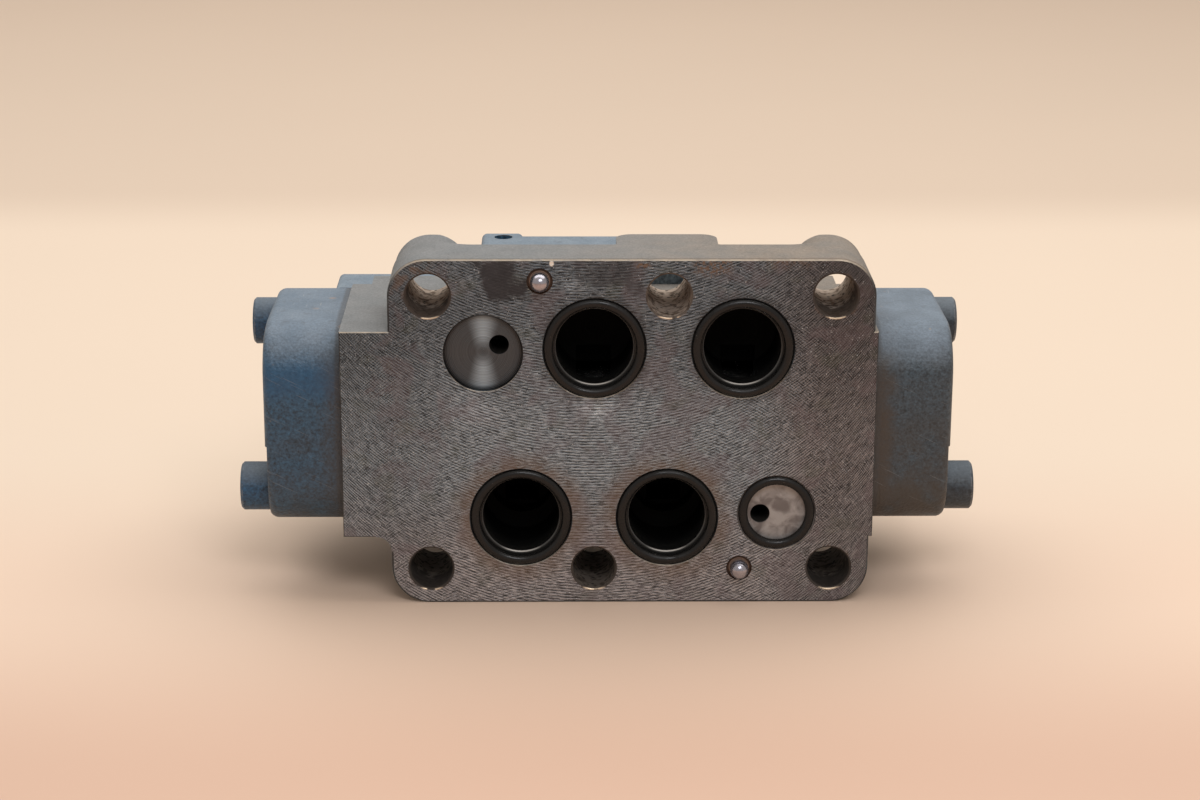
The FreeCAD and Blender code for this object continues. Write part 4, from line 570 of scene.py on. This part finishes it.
    # Painted shade: deeper in the drilled hole the recess is painted dark.
    deep_hole_shade = s.ramp(s.y, 2.6, 3.4)
    y_floor = s.blend(turning, (0.014, 0.015, 0.017), (0.072, 0.079, 0.086))
    # Painted reflection: a streak of light painted across the Y recess.
    off_axis = abs(u - PILOT_PORT[0]) / (0.16 * abs(v - PILOT_PORT[1]) + 1.5)
    painted_light_streak = s.ramp(off_axis, 1.9, 0.0) * s.ramp(from_pilot, 0.0, 6.0)
    painted_light_streak = painted_light_streak * (0.3 + 1.1 * turning)
    y_floor = s.blend(painted_light_streak * 0.8, y_floor, (0.36, 0.42, 0.46))
    # Painted shade: a dark ring painted at the recess wall.
    recess_rim_shade = s.ramp(from_pilot, PILOT_RADIUS - 1.3, PILOT_RADIUS - 0.2)
    y_floor = s.blend(recess_rim_shade * 0.75, y_floor, (0.012, 0.012, 0.013))
    x_blotch = s.ramp(s.cloud(5.0, 4, 52, warp=0.5), 0.35, 0.65)
    x_floor = s.blend(x_blotch, (0.145, 0.125, 0.118), (0.34, 0.315, 0.30))
    pilot_colour = s.blend(upper, x_floor, y_floor)
    pilot_colour = s.blend(deep_hole_shade, pilot_colour, (0.02, 0.018, 0.016))
    drill_lip = s.ramp(s.y, 2.5, 1.9)
    pilot_metal = s.swap(upper, 0.55, 0.95) * drill_lip
    pilot_roughness = s.swap(upper, 0.5, 0.34)
    pilot_height = 0.03 * upper * turned_lines + 0.02 * turning + 0.05 * (1.0 - upper) * x_blotch

    in_pin = s.ramp(from_pin, PIN_MOUTH_RADIUS + 0.25, PIN_MOUTH_RADIUS + 0.2) * (1.0 - behind_flange)
    pin_colour = s.blend(s.cloud(1.0, 3, 53), (0.012, 0.008, 0.006), (0.085, 0.040, 0.020))

    # The layers, one over the other: (share, colour, metallic, roughness, height).
    off_face = 1.0 - face
    colour = s.blend(face, skin, face_colour)
    metallic = face * face_metal
    roughness = s.swap(face, skin_roughness, face_roughness)
    height = s.swap(face, skin_height, face_height)
    layers = (
        (worn_and_highlit_edge, lit_and_shaded_edge_colour, 0.8, 0.38, 0.0),
        (in_bolt * off_face, bore_colour, 0.0, 0.95, 0.10 * s.cloud(2.0, 4, 54)),
        (lip * s.ramp(s.cloud(3.0, 2, 55), 0.35, 0.45), (0.72, 0.57, 0.42), 0.9, 0.3, 0.0),
        (in_port * off_face, port_colour, port_metal, port_roughness, 0.01 * port_turning),
        (in_pilot * off_face, pilot_colour, pilot_metal, pilot_roughness, pilot_height),
        (in_pin * off_face, pin_colour, 0.2, 0.5, 0.1 * s.cloud(1.0, 3, 56)),
    )
    for share, layer_colour, layer_metal, layer_roughness, layer_height in layers:
        colour = s.blend(share, colour, layer_colour)
        metallic = s.swap(share, metallic, layer_metal)
        roughness = s.swap(share, roughness, layer_roughness)
        height = s.swap(share, height, layer_height)
    return s.finish(colour, metallic, roughness, height)


def rubber():
    """Black nitrile rings: glossy with oil, with a fine grain and a little dust."""
    s = Surface("oiled_rubber")
    grain = s.cloud(0.5, 3, 60)
    dust = s.specks(1.6, 0.16, 61) * s.ramp(s.cloud(6.0, 2, 62), 0.5, 0.65)
    colour = s.blend(grain, (0.005, 0.005, 0.005), (0.014, 0.013, 0.0125))
    colour = s.blend(dust * 0.5, colour, (0.25, 0.22, 0.19))
    oil = s.ramp(s.cloud(5.0, 2, 63), 0.4, 0.6)
    roughness = s.swap(oil, 0.36, 0.16) + 0.1 * grain
    height = 0.012 * grain + 0.03 * s.cloud(3.0, 2, 64)
    return s.finish(colour, 0.0, roughness, height, specular_ior_level=0.28)


def bare_steel(name, seed, colour_low, colour_high, roughness):
    """Machined steel with fine lines round X."""
    s = Surface(name)
    lines = s.cloud(1.0, 3, seed, at=s.vector(s.x / 0.22, 0.0, 0.0), rough=0.7)
    tone = s.cloud(5.0, 3, seed + 1)
    oil = s.ramp(s.cloud(9.0, 2, seed + 2), 0.45, 0.65)
    colour = s.blend(0.5 * lines + 0.5 * tone, colour_low, colour_high)
    colour = s.blend(oil * 0.25, colour, (0.10, 0.08, 0.06))
    return s.finish(colour, 1.0, roughness + 0.2 * tone - 0.08 * oil, 0.008 * lines + 0.01 * tone)


def pin_steel():
    """Polished dowel ends with a brown tide mark where they leave the housing."""
    s = Surface("polished_pin")
    tone = s.cloud(1.4, 3, 70)
    colour = s.blend(tone, (0.30, 0.29, 0.33), (0.52, 0.50, 0.55))
    tide = s.ramp(s.y + 1.2 * s.cloud(1.2, 3, 71), -1.2, 0.4)
    colour = s.blend(tide * 0.8, colour, (0.22, 0.12, 0.06))
    roughness = 0.2 + 0.12 * tone + 0.3 * tide
    return s.finish(colour, 1.0 - 0.6 * tide, roughness, 0.01 * tone)


def painted_screws():
    """Cap screws under the same machine paint, rubbed at the rims."""
    s = Surface("painted_screw_heads")
    blue = s.blend(s.ramp(s.x, -50.0, 50.0), (0.015, 0.060, 0.120), (0.022, 0.034, 0.046))
    colour, roughness, height = paint_layers(s, 80, blue, (0.120, 0.145, 0.170), SKIN_STAIN, 0.15)
    ragged = s.cloud(1.6, 3, 88)
    rubbed = s.worn_edge(0.7, 0.06) * s.ramp(ragged, 0.44, 0.56)
    colour = s.blend(rubbed * 0.6, colour, (0.30, 0.30, 0.30))
    return s.finish(colour, 0.5 * rubbed, roughness - 0.05 * rubbed, height * 0.5)


def dark_screws():
    """Black oxide screws with an oily sheen and rubbed edges."""
    s = Surface("black_oxide")
    tone = s.cloud(2.5, 3, 90)
    rubbed = s.worn_edge(0.5, 0.06) * s.ramp(s.cloud(1.2, 3, 91), 0.42, 0.58)
    colour = s.blend(tone, (0.035, 0.034, 0.036), (0.075, 0.07, 0.068))
    colour = s.blend(rubbed * 0.7, colour, (0.38, 0.36, 0.34))
    return s.finish(colour, 0.85, 0.32 + 0.25 * tone, 0.02 * tone)


def zinc():
    """Zinc plated plugs with a yellowish cast and white bloom."""
    s = Surface("zinc_plate")
    tone = s.cloud(2.0, 3, 95)
    bloom = s.ramp(s.cloud(3.5, 4, 96), 0.52, 0.66)
    colour = s.blend(tone, (0.48, 0.46, 0.40), (0.70, 0.68, 0.62))
    colour = s.blend(bloom * 0.6, colour, (0.60, 0.59, 0.56))
    return s.finish(colour, 1.0 - 0.6 * bloom, 0.3 + 0.3 * bloom, 0.02 * tone)


def name_plate():
    """Brushed aluminium plate with a plain dark border line and no lettering."""
    s = Surface("brushed_plate")
    low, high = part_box("blank_name_plate")
    half_x = (high.x - low.x) / 2 / MM
    half_z = (high.z - low.z) / 2 / MM
    middle = (low + high) / 2 / MM
    inset = s.least(half_x - abs(s.x - middle.x), half_z - abs(s.z - middle.z))
    border = s.ramp(abs(inset - 1.6), 0.32, 0.22)
    brushed = s.cloud(1.0, 3, 100, at=s.vector(s.x / 9.0, s.y / 9.0, s.z / 0.12), rough=0.7)
    colour = s.blend(brushed, (0.45, 0.45, 0.44), (0.72, 0.72, 0.70))
    grime = s.ramp(s.cloud(6.0, 4, 101), 0.5, 0.7)
    colour = s.blend(grime * 0.35, colour, (0.22, 0.20, 0.17))
    colour = s.blend(border, colour, (0.03, 0.03, 0.032))
    roughness = 0.28 + 0.25 * brushed + 0.2 * grime
    return s.finish(colour, 1.0 - 0.9 * border, roughness, 0.01 * brushed - 0.03 * border)


def dress():
    """Gives every CAD node its material."""
    paint_by_node = {
        "left_end_cover": painted(
            "left_cover_paint",
            110,
            BLUE,
            DUSTY_BLUE,
            BROWN_STAIN,
            chips=0.5,
            joint=LEFT_JOINT,
            low_grime=0.35,
            fresh=0.6,
        ),
        "right_end_cover": painted(
            "right_cover_paint",
            130,
            GREYED_BLUE,
            DUSTY_BLUE,
            BROWN_STAIN,
            chips=0.8,
            joint=RIGHT_JOINT,
            low_grime=0.85,
        ),
        "pilot_adapter": painted("adapter_paint", 150, BLUE, DUSTY_ADAPTER_BLUE, BROWN_STAIN),
        "interface_cover_plate": painted("cover_plate_paint", 170, BLUE, DUSTY_PLATE_BLUE, BROWN_STAIN),
    }
    by_slot = {
        "cast_housing": housing(),
        "painted_screws": painted_screws(),
        "seal_rubber": rubber(),
        "ground_steel": bare_steel(
            "ground_steel_finish", 200, (0.42, 0.41, 0.40), (0.68, 0.67, 0.65), roughness=0.16
        ),
        "spring_steel": bare_steel(
            "spring_steel_finish", 210, (0.20, 0.19, 0.18), (0.42, 0.40, 0.38), roughness=0.3
        ),
        "pin_steel": pin_steel(),
        "zinc_steel": zinc(),
        "dark_screws": dark_screws(),
        "name_plate_metal": name_plate(),
    }
    for node_record in frame["record"]["subparts"]:
        name = node_record["node"]
        material = paint_by_node.get(name) or by_slot[node_record["material_slot"]]
        slots = nodes[name].material_slots
        for index in range(len(slots)):
            slots[index].material = material


def studio_floor():
    """A plain pale floor under the valve. Its colour changes along Y as the light does in the photo."""
    mesh = bpy.data.meshes.new("studio_floor")
    maker = bmesh.new()
    bmesh.ops.create_grid(maker, x_segments=FLOOR_CELLS, y_segments=FLOOR_CELLS, size=FLOOR_HALF)
    bmesh.ops.translate(maker, verts=maker.verts, vec=(0.0, FLOOR_Y, cad_low.z))
    maker.to_mesh(mesh)
    maker.free()
    floor = bpy.data.objects.new("studio_floor", mesh)
    bpy.context.scene.collection.objects.link(floor)
    s = Surface("pale_floor")
    paper = s.cloud(1.2, 3, 300)
    broad = s.cloud(240.0, 2, 301)
    colour = FLOOR_COLOUR
    # Painted light and shade: the floor is painted darker at the fold behind it and towards the front, and
    # lighter far behind.
    bands = (
        (REAR_BAND, REAR_COLOUR),
        (FAR_BAND, FAR_COLOUR),
        (FRONT_BAND, FRONT_COLOUR),
        (NEAR_BAND, NEAR_COLOUR),
    )
    for band, band_colour in bands:
        colour = s.blend(s.ramp(s.y, *band), colour, band_colour)
    colour = s.shade(colour, 0.985 + 0.03 * broad + 0.012 * paper)
    mesh.materials.append(s.finish(colour, 0.0, 0.62 + 0.1 * paper, 0.01 * paper))


def area_light(name, place, target, size, power, colour):
    """A rectangular lamp of that (width, depth), turned to its target."""
    data = bpy.data.lights.new(name, "AREA")
    data.shape = "RECTANGLE"
    data.size, data.size_y = size
    data.energy = power
    data.color = colour
    lamp = bpy.data.objects.new(name, data)
    lamp.location = place
    lamp.rotation_euler = (Vector(target) - Vector(place)).to_track_quat("-Z", "Y").to_euler()
    bpy.context.scene.collection.objects.link(lamp)


def studio_light():
    """A broad soft light overhead, behind the valve, a weak one in front, and an even surround."""
    for lamp in LAMPS:
        area_light(**lamp)
    world = bpy.data.worlds.new("soft_surround")
    bpy.context.scene.world = world
    world.use_nodes = True
    background = world.node_tree.nodes["Background"]
    background.inputs["Color"].default_value = SURROUND_COLOUR
    background.inputs["Strength"].default_value = SURROUND_STRENGTH


def camera():
    """The photo's camera."""
    data = bpy.data.cameras.new("photo_view")
    data.lens = LENS
    data.sensor_width = SENSOR_WIDTH
    data.clip_end = CAMERA_REACH
    view = bpy.data.objects.new("photo_view", data)
    view.location = CAMERA_PLACE
    view.rotation_euler = [math.radians(angle) for angle in CAMERA_TURN]
    bpy.context.scene.collection.objects.link(view)
    bpy.context.scene.camera = view
    bpy.context.scene.view_settings.view_transform = "Standard"


dress()
studio_floor()
studio_light()
camera()
